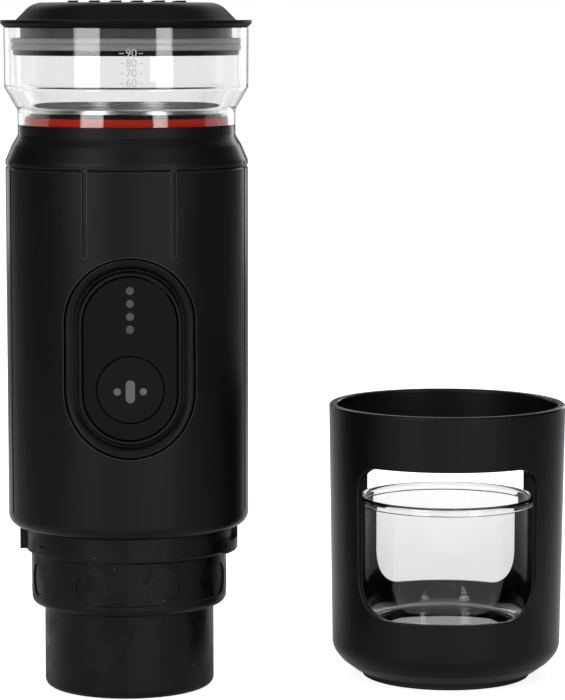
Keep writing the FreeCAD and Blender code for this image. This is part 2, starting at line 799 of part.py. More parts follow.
def icon_solids(outer_y, inner_y):
    half = icon_pill_width / 2
    pill = stadium(half, icon_pill_height / 2 - half, icon_centre_z, outer_y, inner_y)
    dots = [front_disc(icon_dot_radius, side * icon_dot_offset, icon_centre_z, outer_y, inner_y)
            for side in (-1, 1)]
    return [pill] + dots


def make_button_icon():
    return group(icon_solids(face_y + icon_proud, face_y - icon_depth))


def make_button_dome():
    button_back = face_back_y - running_gap - button_flange_thickness
    outer = front_disc(dome_outer, 0, button_centre_z, button_back, board_y)
    return outer.cut(front_disc(dome_inner, 0, button_centre_z, button_back, board_y))


def make_control_board():
    return block(-board_width / 2, board_width / 2, -board_y, -board_y + board_thickness,
                 board_bottom_z, board_top_z)


def make_light_chips():
    return group([block(-chip_width / 2, chip_width / 2, -board_y - chip_thickness, -board_y,
                        z - chip_height / 2, z + chip_height / 2) for z in light_heights()])


def make_tact_switch():
    half = switch_size / 2
    body = block(-half, half, -board_y - switch_body, -board_y,
                 button_centre_z - half, button_centre_z + half)
    front = board_y + switch_body
    plunger = front_disc(switch_plunger_radius, 0, button_centre_z, front + switch_plunger, front)
    return joined([body, plunger])


# ---- pump and motor -----------------------------------------------------------------------------
def plate_with_front_notch(low, high):
    """A round plate inside the housing, cut away in front where the control panel stands."""
    half = bezel_radius + 1
    notch = block(-half, half, -body_radius, -(bezel_lip_y - bezel_depth - 2), low, high)
    return cylinder(inner_radius, low, high).cut(notch)


def make_pump_frame():
    lower = cylinder(inner_radius, frame_z, deck_z)
    upper = plate_with_front_notch(frame_top_z - frame_plate, frame_top_z)
    posts = [cylinder(frame_post_radius, deck_z, frame_top_z - frame_plate,
                      *on_circle(frame_post_circle, angle)) for angle in frame_post_angles]
    frame = joined([lower] + posts + [upper])
    cuts = [cylinder(pressure_tube_radius + slip_gap, frame_z, deck_z, delivery_x),
            cylinder(crank_shaft_radius + running_gap, frame_top_z - frame_plate, frame_top_z, crank_x),
            cylinder(suction_radius + slip_gap, frame_top_z - frame_plate, frame_top_z, suction_x)]
    cuts += [cylinder(frame_screw_radius + slip_gap, frame_z, deck_z,
                      *on_circle(frame_screw_circle, angle)) for angle in frame_screw_angles]
    cuts += [cylinder(frame_screw_radius + slip_gap, frame_top_z - frame_plate, frame_top_z,
                      *on_circle(chassis_post_circle, angle)) for angle in chassis_post_angles]
    return frame.cut(cuts)


def make_frame_screws():
    screws = []
    for angle in frame_screw_angles:
        x, y = on_circle(frame_screw_circle, angle)
        screws.append(joined([
            cylinder(frame_screw_head, deck_z, deck_z + frame_screw_head_height, x, y),
            cylinder(frame_screw_radius, deck_z - frame_screw_length, deck_z, x, y)]))
    return group(screws)


def make_motor_can():
    can = cylinder(motor_radius, deck_z, motor_top_z, crank_x, motor_y)
    hollow = cylinder(motor_radius - motor_wall, deck_z + motor_end, motor_top_z - motor_end,
                      crank_x, motor_y)
    shaft = cylinder(motor_shaft_radius + running_gap, deck_z + motor_end / 2, motor_top_z,
                     crank_x, motor_y)
    return can.cut([hollow, shaft])


def make_motor_magnets():
    outer = motor_radius - motor_wall
    low, high = deck_z + motor_end, motor_top_z - motor_end
    arcs = []
    for start in magnet_starts:
        arc = sector(outer - magnet_thickness, outer, low, high, start, magnet_angle)
        arc.translate(Vector(crank_x, motor_y, 0))
        arcs.append(arc)
    return group(arcs)


def make_motor_rotor():
    low, high = deck_z + motor_end + free_gap, motor_top_z - motor_end - free_gap
    core = cylinder(rotor_radius, low, high)
    slots = [cylinder(rotor_slot_radius, low, high, *on_circle(rotor_radius, i * 360 / rotor_slots))
             for i in range(rotor_slots)]
    shaft = cylinder(motor_shaft_radius, deck_z + motor_end / 2 + free_gap, pinion_z + pinion_thickness)
    pinion = gear_blank(pinion_teeth, pinion_z, pinion_z + pinion_thickness, 0.0)
    rotor = joined([core.cut(slots), shaft, pinion])
    rotor.translate(Vector(crank_x, motor_y, 0))
    return rotor


def clip_z():
    return frame_top_z + free_gap / 2


def make_crank_gear():
    top = gear_z + gear_thickness
    wheel = gear_blank(gear_teeth, gear_z, top, 0.0)
    collar = cylinder(crank_collar_radius, top, frame_top_z - frame_plate - free_gap / 2)
    shaft = cylinder(crank_shaft_radius, top, clip_z() + 2 * clip_thickness)
    groove = ring(crank_shaft_radius - clip_groove, crank_shaft_radius,
                  clip_z(), clip_z() + clip_thickness)
    pin = cylinder(crank_pin_radius, plunger_z - yoke_height / 2 - crank_pin_overrun, gear_z, crank_throw)
    gear = joined([wheel, collar, shaft, pin]).cut(groove)
    gear.translate(Vector(crank_x, 0, 0))
    return gear


def make_gear_clip():
    clip = ring(crank_shaft_radius - clip_groove, clip_radius, clip_z(), clip_z() + clip_thickness)
    mouth = block(0, clip_radius, -clip_mouth / 2, clip_mouth / 2,
                  clip_z(), clip_z() + clip_thickness)
    clip = clip.cut(mouth)
    clip.translate(Vector(crank_x, 0, 0))
    return clip


def pump_bore_end():
    return pump_left_x + pump_bore_stop


def rod(radius, start_x, end_x):
    return Part.makeCylinder(radius, end_x - start_x, Vector(start_x, 0, plunger_z), Vector(1, 0, 0))


def seal_x():
    return pump_right_x - pump_seal_inset


def make_pump_body():
    half = pump_width / 2
    body = block(pump_left_x, pump_right_x, -half, half, deck_z, deck_z + pump_height)
    bore = rod(plunger_radius + running_gap, pump_bore_end(), pump_right_x)
    inlet = cylinder(suction_bore, plunger_z, deck_z + pump_height, suction_x)
    outlet = cylinder(pressure_tube_bore, deck_z, plunger_z, delivery_x)
    gland = rod(plunger_radius + 2 * seal_ring_radius, seal_x() - seal_ring_radius,
                seal_x() + seal_ring_radius)
    return body.cut([bore, inlet, outlet, gland])


def make_plunger_seal():
    inner = plunger_radius + running_gap
    outer = plunger_radius + 2 * seal_ring_radius
    return rod(outer, seal_x() - seal_ring_radius, seal_x() + seal_ring_radius).cut(
        rod(inner, seal_x() - seal_ring_radius, seal_x() + seal_ring_radius))


def make_pump_plunger():
    shaft = rod(plunger_radius, pump_bore_end() + plunger_stroke / 2 + plunger_end_gap,
                crank_x - yoke_half_x)
    outer_x, outer_y = yoke_half_x + yoke_wall, yoke_half_y + yoke_wall
    low, high = plunger_z - yoke_height / 2, plunger_z + yoke_height / 2
    yoke = block(crank_x - outer_x, crank_x + outer_x, -outer_y, outer_y, low, high)
    slot = block(crank_x - yoke_half_x, crank_x + yoke_half_x, -yoke_half_y, yoke_half_y, low, high)
    return joined([shaft, yoke]).cut(slot)


def make_suction_tube():
    low, high = deck_z + pump_height, boiler_z
    tube = cylinder(suction_radius, low, high, suction_x)
    return tube.cut(cylinder(suction_bore, low, high, suction_x))


# ---- battery, boards and chassis ----------------------------------------------------------------
def cell_centres():
    offsets = [on_circle(cell_circle, angle) for angle in cell_angles]
    return [(x, pack_centre_y + y) for x, y in offsets]


def make_battery_cells():
    return group([turned_at(x, y, [(0, cell_z), (cell_radius, cell_z, cell_edge_round),
                                   (cell_radius, cell_z + cell_length, cell_edge_round),
                                   (0, cell_z + cell_length)]) for x, y in cell_centres()])


def turned_at(x, y, corners):
    solid = turned(corners)
    solid.translate(Vector(x, y, 0))
    return solid


def make_cell_strips():
    """Nickel strips, one under the pack and one over it, that join the three cells."""
    strips = []
    for low in (pack_z, chassis_top_z - strip_thickness):
        pads = [cylinder(strip_pad_radius, low, low + strip_thickness, x, y)
                for x, y in cell_centres()]
        web = cylinder(cell_circle, low, low + strip_thickness, 0, pack_centre_y)
        strips.append(joined([web] + pads))
    return group(strips)


def make_chassis():
    floor = plate_with_front_notch(chassis_z, pack_z)
    roof = plate_with_front_notch(chassis_top_z, chassis_top_z + chassis_plate)
    posts = [cylinder(chassis_post_radius, frame_top_z, chassis_top_z,
                      *on_circle(chassis_post_circle, angle)) for angle in chassis_post_angles]
    half = rib_thickness / 2
    ribs = []
    for side in (-1, 1):
        front_x, rear_x = side * front_rib_x, side * rear_rib_x
        board_back = -board_y + board_thickness
        ribs.append(block(front_x - half, front_x + half, board_back, board_back + rib_thickness,
                          pack_z, chassis_top_z))
        ribs.append(block(rear_x - half, rear_x + half, charge_board_y - rib_thickness, charge_board_y,
                          pack_z, chassis_top_z))
    chassis = joined([floor, roof] + posts + ribs)
    cuts = [cylinder(suction_radius + slip_gap, chassis_z, chassis_top_z + chassis_plate, suction_x)]
    cuts += [cylinder(frame_screw_radius, frame_top_z, frame_top_z + chassis_screw_length,
                      *on_circle(chassis_post_circle, angle)) for angle in chassis_post_angles]
    cuts.append(cylinder(crank_shaft_radius + shaft_relief, chassis_z, pack_z - chassis_plate / 2, crank_x))
    return chassis.cut(cuts)


def make_chassis_screws():
    seat = frame_top_z - frame_plate
    screws = []
    for angle in chassis_post_angles:
        x, y = on_circle(chassis_post_circle, angle)
        screws.append(joined([
            cylinder(frame_screw_head, seat - frame_screw_head_height, seat, x, y),
            cylinder(frame_screw_radius, seat, frame_top_z + chassis_screw_length, x, y)]))
    return group(screws)


def make_charge_board():
    half_x, half_z = charge_board_width / 2, charge_board_height / 2
    return block(-half_x, half_x, charge_board_y, charge_board_y + board_thickness,
                 socket_z - half_z, socket_z + half_z)


def make_charge_socket():
    back = charge_board_y + board_thickness
    shell = socket_prism(0.0, cover_recess_y, back)
    hollow = socket_prism(-socket_wall, cover_recess_y, back + 2 * socket_wall)
    half_x, half_z = socket_width / 2 - socket_tongue_inset, socket_tongue / 2
    tongue = block(-half_x, half_x, back, cover_recess_y - 2 * socket_wall,
                   socket_z - half_z, socket_z + half_z)
    return joined([shell.cut(hollow), tongue])


def make_charge_cover():
    outer = body_radius - cover_sink
    plate = cover_prism(0.0, body_radius + groove_overrun, cover_recess_y + slip_gap)
    plate = plate.common(cylinder(outer, socket_z - cover_height, socket_z + cover_height))
    notch_z = socket_z + cover_height / 2
    notch = Part.makeCylinder(cover_notch_radius, cover_notch_radius,
                              Vector(0, outer - cover_notch_depth, notch_z), Vector(0, 1, 0))
    return plate.cut(notch)


# ---- boiler and heater --------------------------------------------------------------------------
def make_boiler_cup():
    top = boiler_z + boiler_height
    bore = boiler_radius - boiler_wall
    cup = turned([(0, boiler_z), (boiler_radius, boiler_z, boiler_corner),
                  (boiler_radius, top, boiler_wall / 2),
                  (bore, top), (bore, boiler_z + boiler_wall, boiler_corner - boiler_wall),
                  (0, boiler_z + boiler_wall)])
    return cup.cut(cylinder(suction_bore, boiler_z, boiler_z + boiler_wall, suction_x))


def make_heater_plate():
    return turned([(0, heater_z), (heater_radius, heater_z, edge_round),
                   (heater_radius, boiler_z, edge_round),
                   (0, boiler_z)])


def make_heating_element():
    return Part.makeTorus(heater_element_ring, element_radius, Vector(0, 0, heater_z - element_radius))


def make_thermostat():
    can, low = thermostat_radius - thermostat_step, heater_z - thermostat_height
    flange_z = heater_z - thermostat_flange
    return turned([(0, low), (can, low), (can, flange_z), (thermostat_radius, flange_z),
                   (thermostat_radius, heater_z), (0, heater_z)])


def make_insulation_ring():
    outer = skirt_radius - skirt_wall - free_gap
    return ring(outer - insulation_width, outer, chassis_top_z + chassis_plate, ledge_z)


# ---- water tank and lid -------------------------------------------------------------------------
def make_tank_gasket():
    inner = boiler_radius + rim_width + 2 * slip_gap
    outer = neck_bore - slip_gap
    top = shoulder_top_z + gasket_height
    return turned([(inner, shoulder_top_z), (outer, shoulder_top_z), (outer, top, gasket_round),
                   (inner, top, gasket_round)])


def tank_bore(z):
    """Inner radius of the tank's upper wall at a height."""
    low = shoulder_top_z + tank_neck_height + tank_flare
    share = (z - low) / (tank_top_z - low)
    return tank_base_radius + tank_taper * share - tank_wall


def make_water_tank():
    neck_top = shoulder_top_z + tank_neck_height
    shelf = neck_top + tank_flare
    floor_z = shelf + tank_floor
    outer = [(tank_neck_radius, shoulder_top_z), (tank_neck_radius, neck_top, tank_cove),
             (tank_base_radius, shelf, tank_shelf_round), (tank_radius, tank_top_z)]
    inner = [(tank_bore(tank_top_z), tank_top_z), (tank_bore(floor_z), floor_z, tank_wall),
             (neck_bore, neck_top + tank_bend, tank_cove), (neck_bore, shoulder_top_z)]
    return turned(outer + inner)


def make_lid():
    flat_z = lid_top_z - ridge_height
    shell = turned([(0, tank_top_z), (lid_seat_radius, tank_top_z),
                    (lid_radius, lid_edge_z, lid_edge_round), (lid_radius, lid_shelf_z, lid_edge_round),
                    (lid_dome_radius + lid_dome_step, lid_shelf_z, lid_edge_round),
                    (lid_dome_radius, lid_shelf_z + lid_dome_step, lid_edge_round),
                    (lid_top_radius, flat_z, lid_dome_round), (0, flat_z)])
    cavity = turned([(0, tank_top_z), (plug_radius - plug_wall, tank_top_z),
                     (plug_radius - plug_wall, flat_z - lid_cavity, lid_cavity_round),
                     (0, flat_z - lid_cavity)])
    ridges = []
    for i in range(lid_ridges):
        x = (i - (lid_ridges - 1) / 2) * ridge_pitch
        reach = math.sqrt(lid_flat_radius ** 2 - x ** 2) - ridge_end_round
        half = ridge_width / 2
        bar = block(x - half, x + half, -reach, reach, flat_z, lid_top_z)
        ends = [cylinder(half, flat_z, lid_top_z, x, side * reach) for side in (-1, 1)]
        ridges += [bar] + ends
    return shell.cut(cavity).fuse(ridges).removeSplitter()


def make_lid_plug():
    bore = plug_radius - plug_wall
    band, band_top = tank_bore(plug_z) - plug_band_gap, plug_z + plug_band_height
    return turned([(bore, plug_z), (band, plug_z, edge_round), (band, band_top), (plug_radius, band_top),
                   (plug_radius, tank_top_z), (bore, tank_top_z)])


def make_lid_seal():
    low = plug_z + plug_band_height
    high = low + plug_seal_height
    outer = tank_bore(low) - slip_gap
    lip = seal_lip_round
    return turned([(plug_radius, low), (outer, low, lip), (outer, low + seal_lip_height, lip),
                   (outer - seal_waist, (low + high) / 2), (outer, high - seal_lip_height, lip),
                   (outer, high, lip), (plug_radius, high)])


# ---- cup holder and cup -------------------------------------------------------------------------
def placed_beside(shape):
    copy = turned_about_z(shape, holder_yaw)
    copy.translate(Vector(holder_x, holder_y, 0))
    return copy


def is_window_rim(edge):
    """Whether an edge lies on the holder's outer side, part of the way up and not all round."""
    middle = edge.valueAt((edge.FirstParameter + edge.LastParameter) / 2)
    reach, box = math.hypot(middle.x, middle.y), edge.BoundBox
    outside = reach > (holder_radius + holder_bore) / 2
    between = holder_floor_z < box.ZMin + hair and box.ZMax < window_top_z + edge_round
    return outside and between


def make_cup_holder():
    chamfer_in, chamfer_z = holder_chamfer
    hollow, ceiling_z = holder_bore - holder_hollow_inset, holder_floor_z - holder_floor
    shell = turned([(holder_recess, holder_foot_z), (holder_foot_edge, holder_foot_z, edge_round),
                    (holder_base_radius - chamfer_in, chamfer_z, holder_round),
                    (holder_base_radius, holder_base_z, holder_round),
                    (holder_radius, holder_height, holder_rim_round),
                    (holder_bore, holder_height, holder_rim_round),
                    (holder_bore, holder_floor_z, holder_floor_round), (0, holder_floor_z),
                    (0, ceiling_z), (hollow, ceiling_z, holder_floor_round),
                    (hollow, holder_base_z, edge_round), (holder_recess, 2 * holder_foot_z)])
    windows = [(front_half_angle, front_window_rise, 0), (back_half_angle, back_window_rise, 180)]
    for half_angle, rise, turn in windows:
        window = radial_prism(half_angle, holder_floor_z + rise, window_top_z, window_low_round,
                              window_top_round, holder_radius + groove_overrun, window_inner_y)
        shell = shell.cut(turned_about_z(window, turn))
    rims = [edge for edge in shell.Edges if is_window_rim(edge)]
    return placed_beside(shell.makeFillet(window_edge_round, rims))


def make_holder_foot():
    foot = turned([(foot_radius - foot_width, 0, foot_round), (foot_radius, 0, foot_round),
                   (foot_radius, holder_foot_z), (foot_radius - foot_width, holder_foot_z)])
    return placed_beside(foot)


def make_cup():
    low, top = holder_floor_z, holder_floor_z + cup_height
    lip = top - cup_lip_height
    bore = cup_base_radius - cup_wall
    return placed_beside(turned([
        (0, low), (cup_base_radius, low, cup_corner), (cup_radius - cup_lip, lip - cup_lip_blend),
        (cup_radius, lip, cup_lip), (cup_radius, top, cup_rim_round),
        (cup_radius - cup_lip - cup_wall, top, cup_rim_round),
        (bore, low + cup_floor, cup_inner_corner), (0, low + cup_floor)]))


# ---- every node and its maker -------------------------------------------------------------------
nodes = {
    "outlet_cup": make_outlet_cup,
    "grip_ring": make_grip_ring,
    "filter_basket": make_filter_basket,
    "brew_seal": make_brew_seal,
    "brew_head": make_brew_head,
    "shower_screen": make_shower_screen,
    "shower_screw": make_shower_screw,
    "pressure_tube": make_pressure_tube,
    "housing_shell": make_housing_shell,
    "shoulder_collar": make_shoulder_collar,
    "bezel_ring": make_bezel_ring,
    "panel_face": make_panel_face,
    "light_windows": make_light_windows,
    "brew_button": make_brew_button,
    "button_icon": make_button_icon,
    "button_dome": make_button_dome,
    "control_board": make_control_board,
    "light_chips": make_light_chips,
    "tact_switch": make_tact_switch,
    "pump_frame": make_pump_frame,
    "frame_screws": make_frame_screws,
    "motor_can": make_motor_can,
    "motor_magnets": make_motor_magnets,
    "motor_rotor": make_motor_rotor,
    "crank_gear": make_crank_gear,
    "gear_clip": make_gear_clip,
    "pump_body": make_pump_body,
    "plunger_seal": make_plunger_seal,
    "pump_plunger": make_pump_plunger,
    "suction_tube": make_suction_tube,
    "chassis": make_chassis,
    "chassis_screws": make_chassis_screws,
    "battery_cells": make_battery_cells,
    "cell_strips": make_cell_strips,
    "charge_board": make_charge_board,
    "charge_socket": make_charge_socket,
    "charge_cover": make_charge_cover,
    "boiler_cup": make_boiler_cup,
    "heater_plate": make_heater_plate,
    "heating_element": make_heating_element,
    "thermostat": make_thermostat,
    "insulation_ring": make_insulation_ring,
    "tank_gasket": make_tank_gasket,
    "water_tank": make_water_tank,
    "lid": make_lid,
    "lid_plug": make_lid_plug,
    "lid_seal": make_lid_seal,
    "cup_holder": make_cup_holder,
    "holder_foot": make_holder_foot,
    "cup": make_cup,
}

os.makedirs("parts", exist_ok=True)
for name, maker in nodes.items():
    shape = maker()
    shape.exportStep("parts/" + name + ".step")
    print(f"{name:18s} solids {len(shape.Solids)} volume {shape.Volume:10.1f} valid {shape.isValid()}")
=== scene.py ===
# %% [markdown]
# # A handheld espresso maker with its cup holder
#
# The maker is a black cylinder that stands on its brew outlet, with a clear water tank and a lid on top.
# Beside it stands the windowed holder with a clear cup in it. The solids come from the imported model, which
# is already the right size and in the right place, so this lesson gives them their finishes and adds the
# fine forms that a camera sees: the dished bezel, the soft return dome and the printed water scale.

# %% Load the model
import math

import bmesh
import bpy
from mathutils import Matrix, Vector


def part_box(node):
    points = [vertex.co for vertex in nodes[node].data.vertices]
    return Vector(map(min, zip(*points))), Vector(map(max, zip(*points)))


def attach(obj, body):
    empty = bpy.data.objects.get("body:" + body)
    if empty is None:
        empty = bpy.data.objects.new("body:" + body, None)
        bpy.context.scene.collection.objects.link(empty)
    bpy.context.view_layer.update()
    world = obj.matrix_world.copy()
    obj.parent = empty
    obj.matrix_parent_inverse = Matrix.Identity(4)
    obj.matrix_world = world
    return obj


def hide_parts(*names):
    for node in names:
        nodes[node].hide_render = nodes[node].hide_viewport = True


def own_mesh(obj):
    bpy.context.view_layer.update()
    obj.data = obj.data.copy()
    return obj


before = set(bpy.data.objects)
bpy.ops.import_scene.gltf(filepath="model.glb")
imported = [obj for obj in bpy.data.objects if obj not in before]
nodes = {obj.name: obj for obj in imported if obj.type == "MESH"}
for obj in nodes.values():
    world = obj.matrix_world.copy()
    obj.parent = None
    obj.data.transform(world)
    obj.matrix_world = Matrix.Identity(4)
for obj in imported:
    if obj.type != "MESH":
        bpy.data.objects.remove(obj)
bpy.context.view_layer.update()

# %% [markdown]
# ## The camera
#
# A product like this is shot from far off with a long lens, so that its sides stay parallel. The lens here
# is about 154 mm on a 36 mm sensor. It stands a little under a metre away, about as high as the tank's top,
# and looks down by six degrees, so both the holder's far rim and its near rim show. It is a touch left of
# the maker, which turns the panel very slightly to the right.

# %% Place the camera
MM = 0.001
camera_place = (-15.6, -892.9, 199.5)   # mm
look_down, look_right = 6.3, 3.97       # degrees
camera_data = bpy.data.cameras.new("product_camera")
camera_data.lens = 154.1
camera_data.sensor_width = 36.0
camera = bpy.data.objects.new("product_camera", camera_data)
camera.location = [v * MM for v in camera_place]
camera.rotation_euler = (math.radians(90 - look_down), 0.0, math.radians(-look_right))
bpy.context.scene.collection.objects.link(camera)
bpy.context.scene.camera = camera
bpy.context.scene.view_settings.view_transform = "Standard"
print("camera lens:", camera_data.lens, "mm")

# %% [markdown]
# ## Helpers for shaders
#
# Colours are written as hex values, as a paint chart gives them. Blender works with linear light, so one
# function turns them over. Another adds a node, sets it and links it, which keeps each material readable
# from top to bottom. Pattern scales are given in millimetres, because a noise texture's scale is simply
# how many of its cells fit in a metre. The Mix node has sockets for numbers and for colours under the same
# names, so these are called by their place in its list, and each place gets a name here.


# %% Colour, node and scale helpers
def linear(hex_colour):
    """Turns an sRGB hex colour into the linear RGBA that a shader reads."""
    channels = [int(hex_colour[i:i + 2], 16) / 255 for i in (1, 3, 5)]
    return [c / 12.92 if c <= 0.04045 else ((c + 0.055) / 1.055) ** 2.4 for c in channels] + [1.0]


def add_node(tree, kind, settings=None, links=None):
    """Adds a node. Settings name its properties or inputs; links name inputs and what feeds them."""
    node = tree.nodes.new(kind)
    for key, value in (settings or {}).items():
        if isinstance(key, str) and hasattr(node, key):
            setattr(node, key, value)
        else:
            node.inputs[key].default_value = value
    for key, (source, output) in (links or {}).items():
        tree.links.new(source.outputs[output], node.inputs[key])
    return node


def cells_of(size_mm):
    """The texture scale whose cells are this many millimetres across."""
    return 1.0 / (size_mm * MM)


SHARE, NUMBER_A, NUMBER_B, COLOUR_A, COLOUR_B = 0, 2, 3, 6, 7       # a Mix node's inputs
MIXED_NUMBER, MIXED_COLOUR = 0, 2                                   # and its outputs
print("black at #1c1c1d is", [round(c, 4) for c in linear("#1c1c1d")[:3]], "in linear light")


# %% [markdown]
# ## Starting a material and putting it on
#
# Every finish starts from the Principled shader, because it covers plastic, metal, rubber and clear plastic
# alike. What doesn't vary over the surface is set on the shader itself. What varies, such as colour and
# roughness, is linked in afterwards. On most of these surfaces one pattern drives everything: where it is
# high, the surface is a little paler, duller and higher, so one function links all three to it.


# %% Start a material, vary its surface, and dress nodes with it
def start_material(name, settings):
    """Makes a material with a Principled shader; returns it, its tree, the shader and the coordinates."""
    material = bpy.data.materials.new(name)
    material.use_nodes = True
    tree = material.node_tree
    tree.nodes.clear()
    shader = add_node(tree, "ShaderNodeBsdfPrincipled", settings)
    add_node(tree, "ShaderNodeOutputMaterial", links={"Surface": (shader, "BSDF")})
    place = add_node(tree, "ShaderNodeTexCoord")
    return material, tree, shader, place


def vary_surface(tree, shader, pattern, colours, roughness, relief=None):
    """Links colour and roughness, each a pair, and relief (strength, height in mm) to a pattern's Fac."""
    tone = add_node(tree, "ShaderNodeMix", {"data_type": "RGBA", COLOUR_A: linear(colours[0]),
                                            COLOUR_B: linear(colours[1])}, {SHARE: (pattern, "Fac")})
    tree.links.new(tone.outputs[MIXED_COLOUR], shader.inputs["Base Color"])
    dulling = add_node(tree, "ShaderNodeMapRange", {"To Min": roughness[0], "To Max": roughness[1]},
                       {"Value": (pattern, "Fac")})
    tree.links.new(dulling.outputs["Result"], shader.inputs["Roughness"])
    if relief:
        strength, height_mm = relief
        bump = add_node(tree, "ShaderNodeBump", {"Strength": strength, "Distance": height_mm * MM},
                        {"Height": (pattern, "Fac")})
        tree.links.new(bump.outputs["Normal"], shader.inputs["Normal"])


def dress(material, *names):
    """Puts a material on CAD nodes."""
    for name in names:
        for material_slot in nodes[name].material_slots:
            material_slot.material = material
    print(material.name, "->", ", ".join(names))


# %% [markdown]
# ## Moulded grain at a glancing angle
#
# A fine moulded grain looks dull from straight on. Seen along the surface, its valleys hide behind its
# peaks, and it turns shinier. Layer Weight gives that change, so the thin bright line along each side of a
# black moulding stays crisp.


# %% Let gloss rise at a glancing angle
def glancing_roughness(tree, roughness, shader, keep):
    """Links roughness to the shader, less at glancing angles, down to keep times its value."""
    glance_from, glance_to = 0.45, 0.8
    glance = add_node(tree, "ShaderNodeLayerWeight", {"Blend": 0.5})
    share = add_node(tree, "ShaderNodeMapRange", {
        "From Min": glance_from, "From Max": glance_to, "To Min": 1.0, "To Max": keep},
                     {"Value": (glance, "Facing")})
    eased = add_node(tree, "ShaderNodeMath", {"operation": "MULTIPLY"},
                     {0: (roughness, "Result"), 1: (share, "Result")})
    tree.links.new(eased.outputs["Value"], shader.inputs["Roughness"])


# %% [markdown]
# ## Edges that handling has rubbed, with a painted highlight
#
# Hands and cloths rub a moulding's edges first. They flatten the grain there, which pales the edges a little,
# and the paler colour is also a painted highlight: the fine line of light that an edge catches, painted in.
# The Bevel node gives the direction that the surface would face if its edges were rounder. Where that differs
# from how it really faces, there is an edge, and the colour is paler. The dot product says how well the two
# directions agree: 1 where they are the same, and less on an edge.


# %% Find the edges, and pale them for wear and a painted highlight
def worn_and_highlit_edges(tree, colour, worn_and_highlight_colour, reach_mm):
    """Mixes a paler colour, for wear and a painted highlight, into (node, output) colour along edges; returns
    the new colour's node.
    """
    hardly_worn_or_highlit, fully_worn_and_highlit = 0.985, 0.85
    rounder = add_node(tree, "ShaderNodeBevel", {"samples": 6, "Radius": reach_mm * MM})
    real = add_node(tree, "ShaderNodeNewGeometry")
    agreement = add_node(tree, "ShaderNodeVectorMath", {"operation": "DOT_PRODUCT"},
                         {0: (rounder, "Normal"), 1: (real, "Normal")})
    edge = add_node(tree, "ShaderNodeMapRange", {"From Min": hardly_worn_or_highlit, "From Max": fully_worn_and_highlit},
                    {"Value": (agreement, "Value")})
    return add_node(tree, "ShaderNodeMix", {"data_type": "RGBA", COLOUR_B: linear(worn_and_highlight_colour)},
                    {SHARE: (edge, "Result"), COLOUR_A: colour})


# %% [markdown]
# ## Satin black ABS
#
# The housing and the cup holder are injection-moulded ABS. Their mould was spark-eroded, which leaves a
# fine even grain, so the black looks soft and only edges catch a clear highlight. The real grain is near
# 0.1 mm; it is drawn at 0.45 mm so that it shows. A second, wide noise stands for the slight patchiness
# that handling and uneven cooling leave. ABS reflects about 4%, but the grain traps part of that light,
# which the lowered specular level stands for.

# %% Satin black ABS
abs_black, tree, shader, place = start_material("moulded_abs_satin_black", {
    "IOR": 1.53, "Specular IOR Level": 0.20})
patches = add_node(tree, "ShaderNodeTexNoise", {"Scale": cells_of(22), "Detail": 2.0},
                   {"Vector": (place, "Object")})
tone = add_node(tree, "ShaderNodeMix", {
    "data_type": "RGBA", COLOUR_A: linear("#030304"), COLOUR_B: linear("#070708")}, {SHARE: (patches, "Fac")})
# Edges are paled towards #3e3e40: partly wear, partly a painted highlight.
edge_wear_and_highlight = worn_and_highlit_edges(tree, (tone, MIXED_COLOUR), "#3e3e40", reach_mm=0.5)
tree.links.new(edge_wear_and_highlight.outputs[MIXED_COLOUR], shader.inputs["Base Color"])
dulling = add_node(tree, "ShaderNodeMapRange", {"To Min": 0.40, "To Max": 0.50}, {"Value": (patches, "Fac")})
glancing_roughness(tree, dulling, shader, keep=0.4)
grain = add_node(tree, "ShaderNodeTexNoise", {"Scale": cells_of(0.45), "Detail": 3.0},
                 {"Vector": (place, "Object")})
relief = add_node(tree, "ShaderNodeBump", {"Strength": 0.35, "Distance": 0.02 * MM},
                  {"Height": (grain, "Fac")})
tree.links.new(relief.outputs["Normal"], shader.inputs["Normal"])
dress(abs_black, "housing_shell", "shoulder_collar", "cup_holder", "bezel_ring")

# %% [markdown]
# ## Polished black nylon
#
# The outlet, its grip ring and the brew head carry heat and pressure, so they are glass-filled nylon from a
# smoother mould. The fibres pull the skin in unevenly as it cools, which bends the reflections into soft
# blotches some 10 mm wide. Dust also sits on this part, as pale specks up to 0.4 mm across: a Voronoi
# pattern has one point in each cell, and only what is close to a point is dusty.

# %% Polished black nylon
nylon_black, tree, shader, place = start_material("moulded_nylon_black", {
    "IOR": 1.53, "Specular IOR Level": 0.19})
blotches = add_node(tree, "ShaderNodeTexNoise", {"Scale": cells_of(9), "Detail": 2.5, "Distortion": 0.6},
                    {"Vector": (place, "Object")})
dulling = add_node(tree, "ShaderNodeMapRange", {"From Min": 0.35, "From Max": 0.65, "To Min": 0.22,
                                                "To Max": 0.50}, {"Value": (blotches, "Fac")})
tree.links.new(dulling.outputs["Result"], shader.inputs["Roughness"])
relief = add_node(tree, "ShaderNodeBump", {"Strength": 0.8, "Distance": 0.16 * MM},
                  {"Height": (blotches, "Fac")})
tree.links.new(relief.outputs["Normal"], shader.inputs["Normal"])

# %% Dust, and edges paled for wear and a painted highlight, on the nylon
speck_apart, speck_radius = 5.5, 0.035      # mm, and the largest radius as a share of that
specks = add_node(tree, "ShaderNodeTexVoronoi", {"Scale": cells_of(speck_apart)},
                  {"Vector": (place, "Object")})
dusty = add_node(tree, "ShaderNodeMath", {"operation": "LESS_THAN", 1: speck_radius},
                 {0: (specks, "Distance")})
skin = add_node(tree, "ShaderNodeMix", {
    "data_type": "RGBA", COLOUR_A: linear("#040405"), COLOUR_B: linear("#0d0d0e")},
                {SHARE: (blotches, "Fac")})
tone = add_node(tree, "ShaderNodeMix", {"data_type": "RGBA", COLOUR_B: linear("#58585a")},
                {SHARE: (dusty, "Value"), COLOUR_A: (skin, MIXED_COLOUR)})
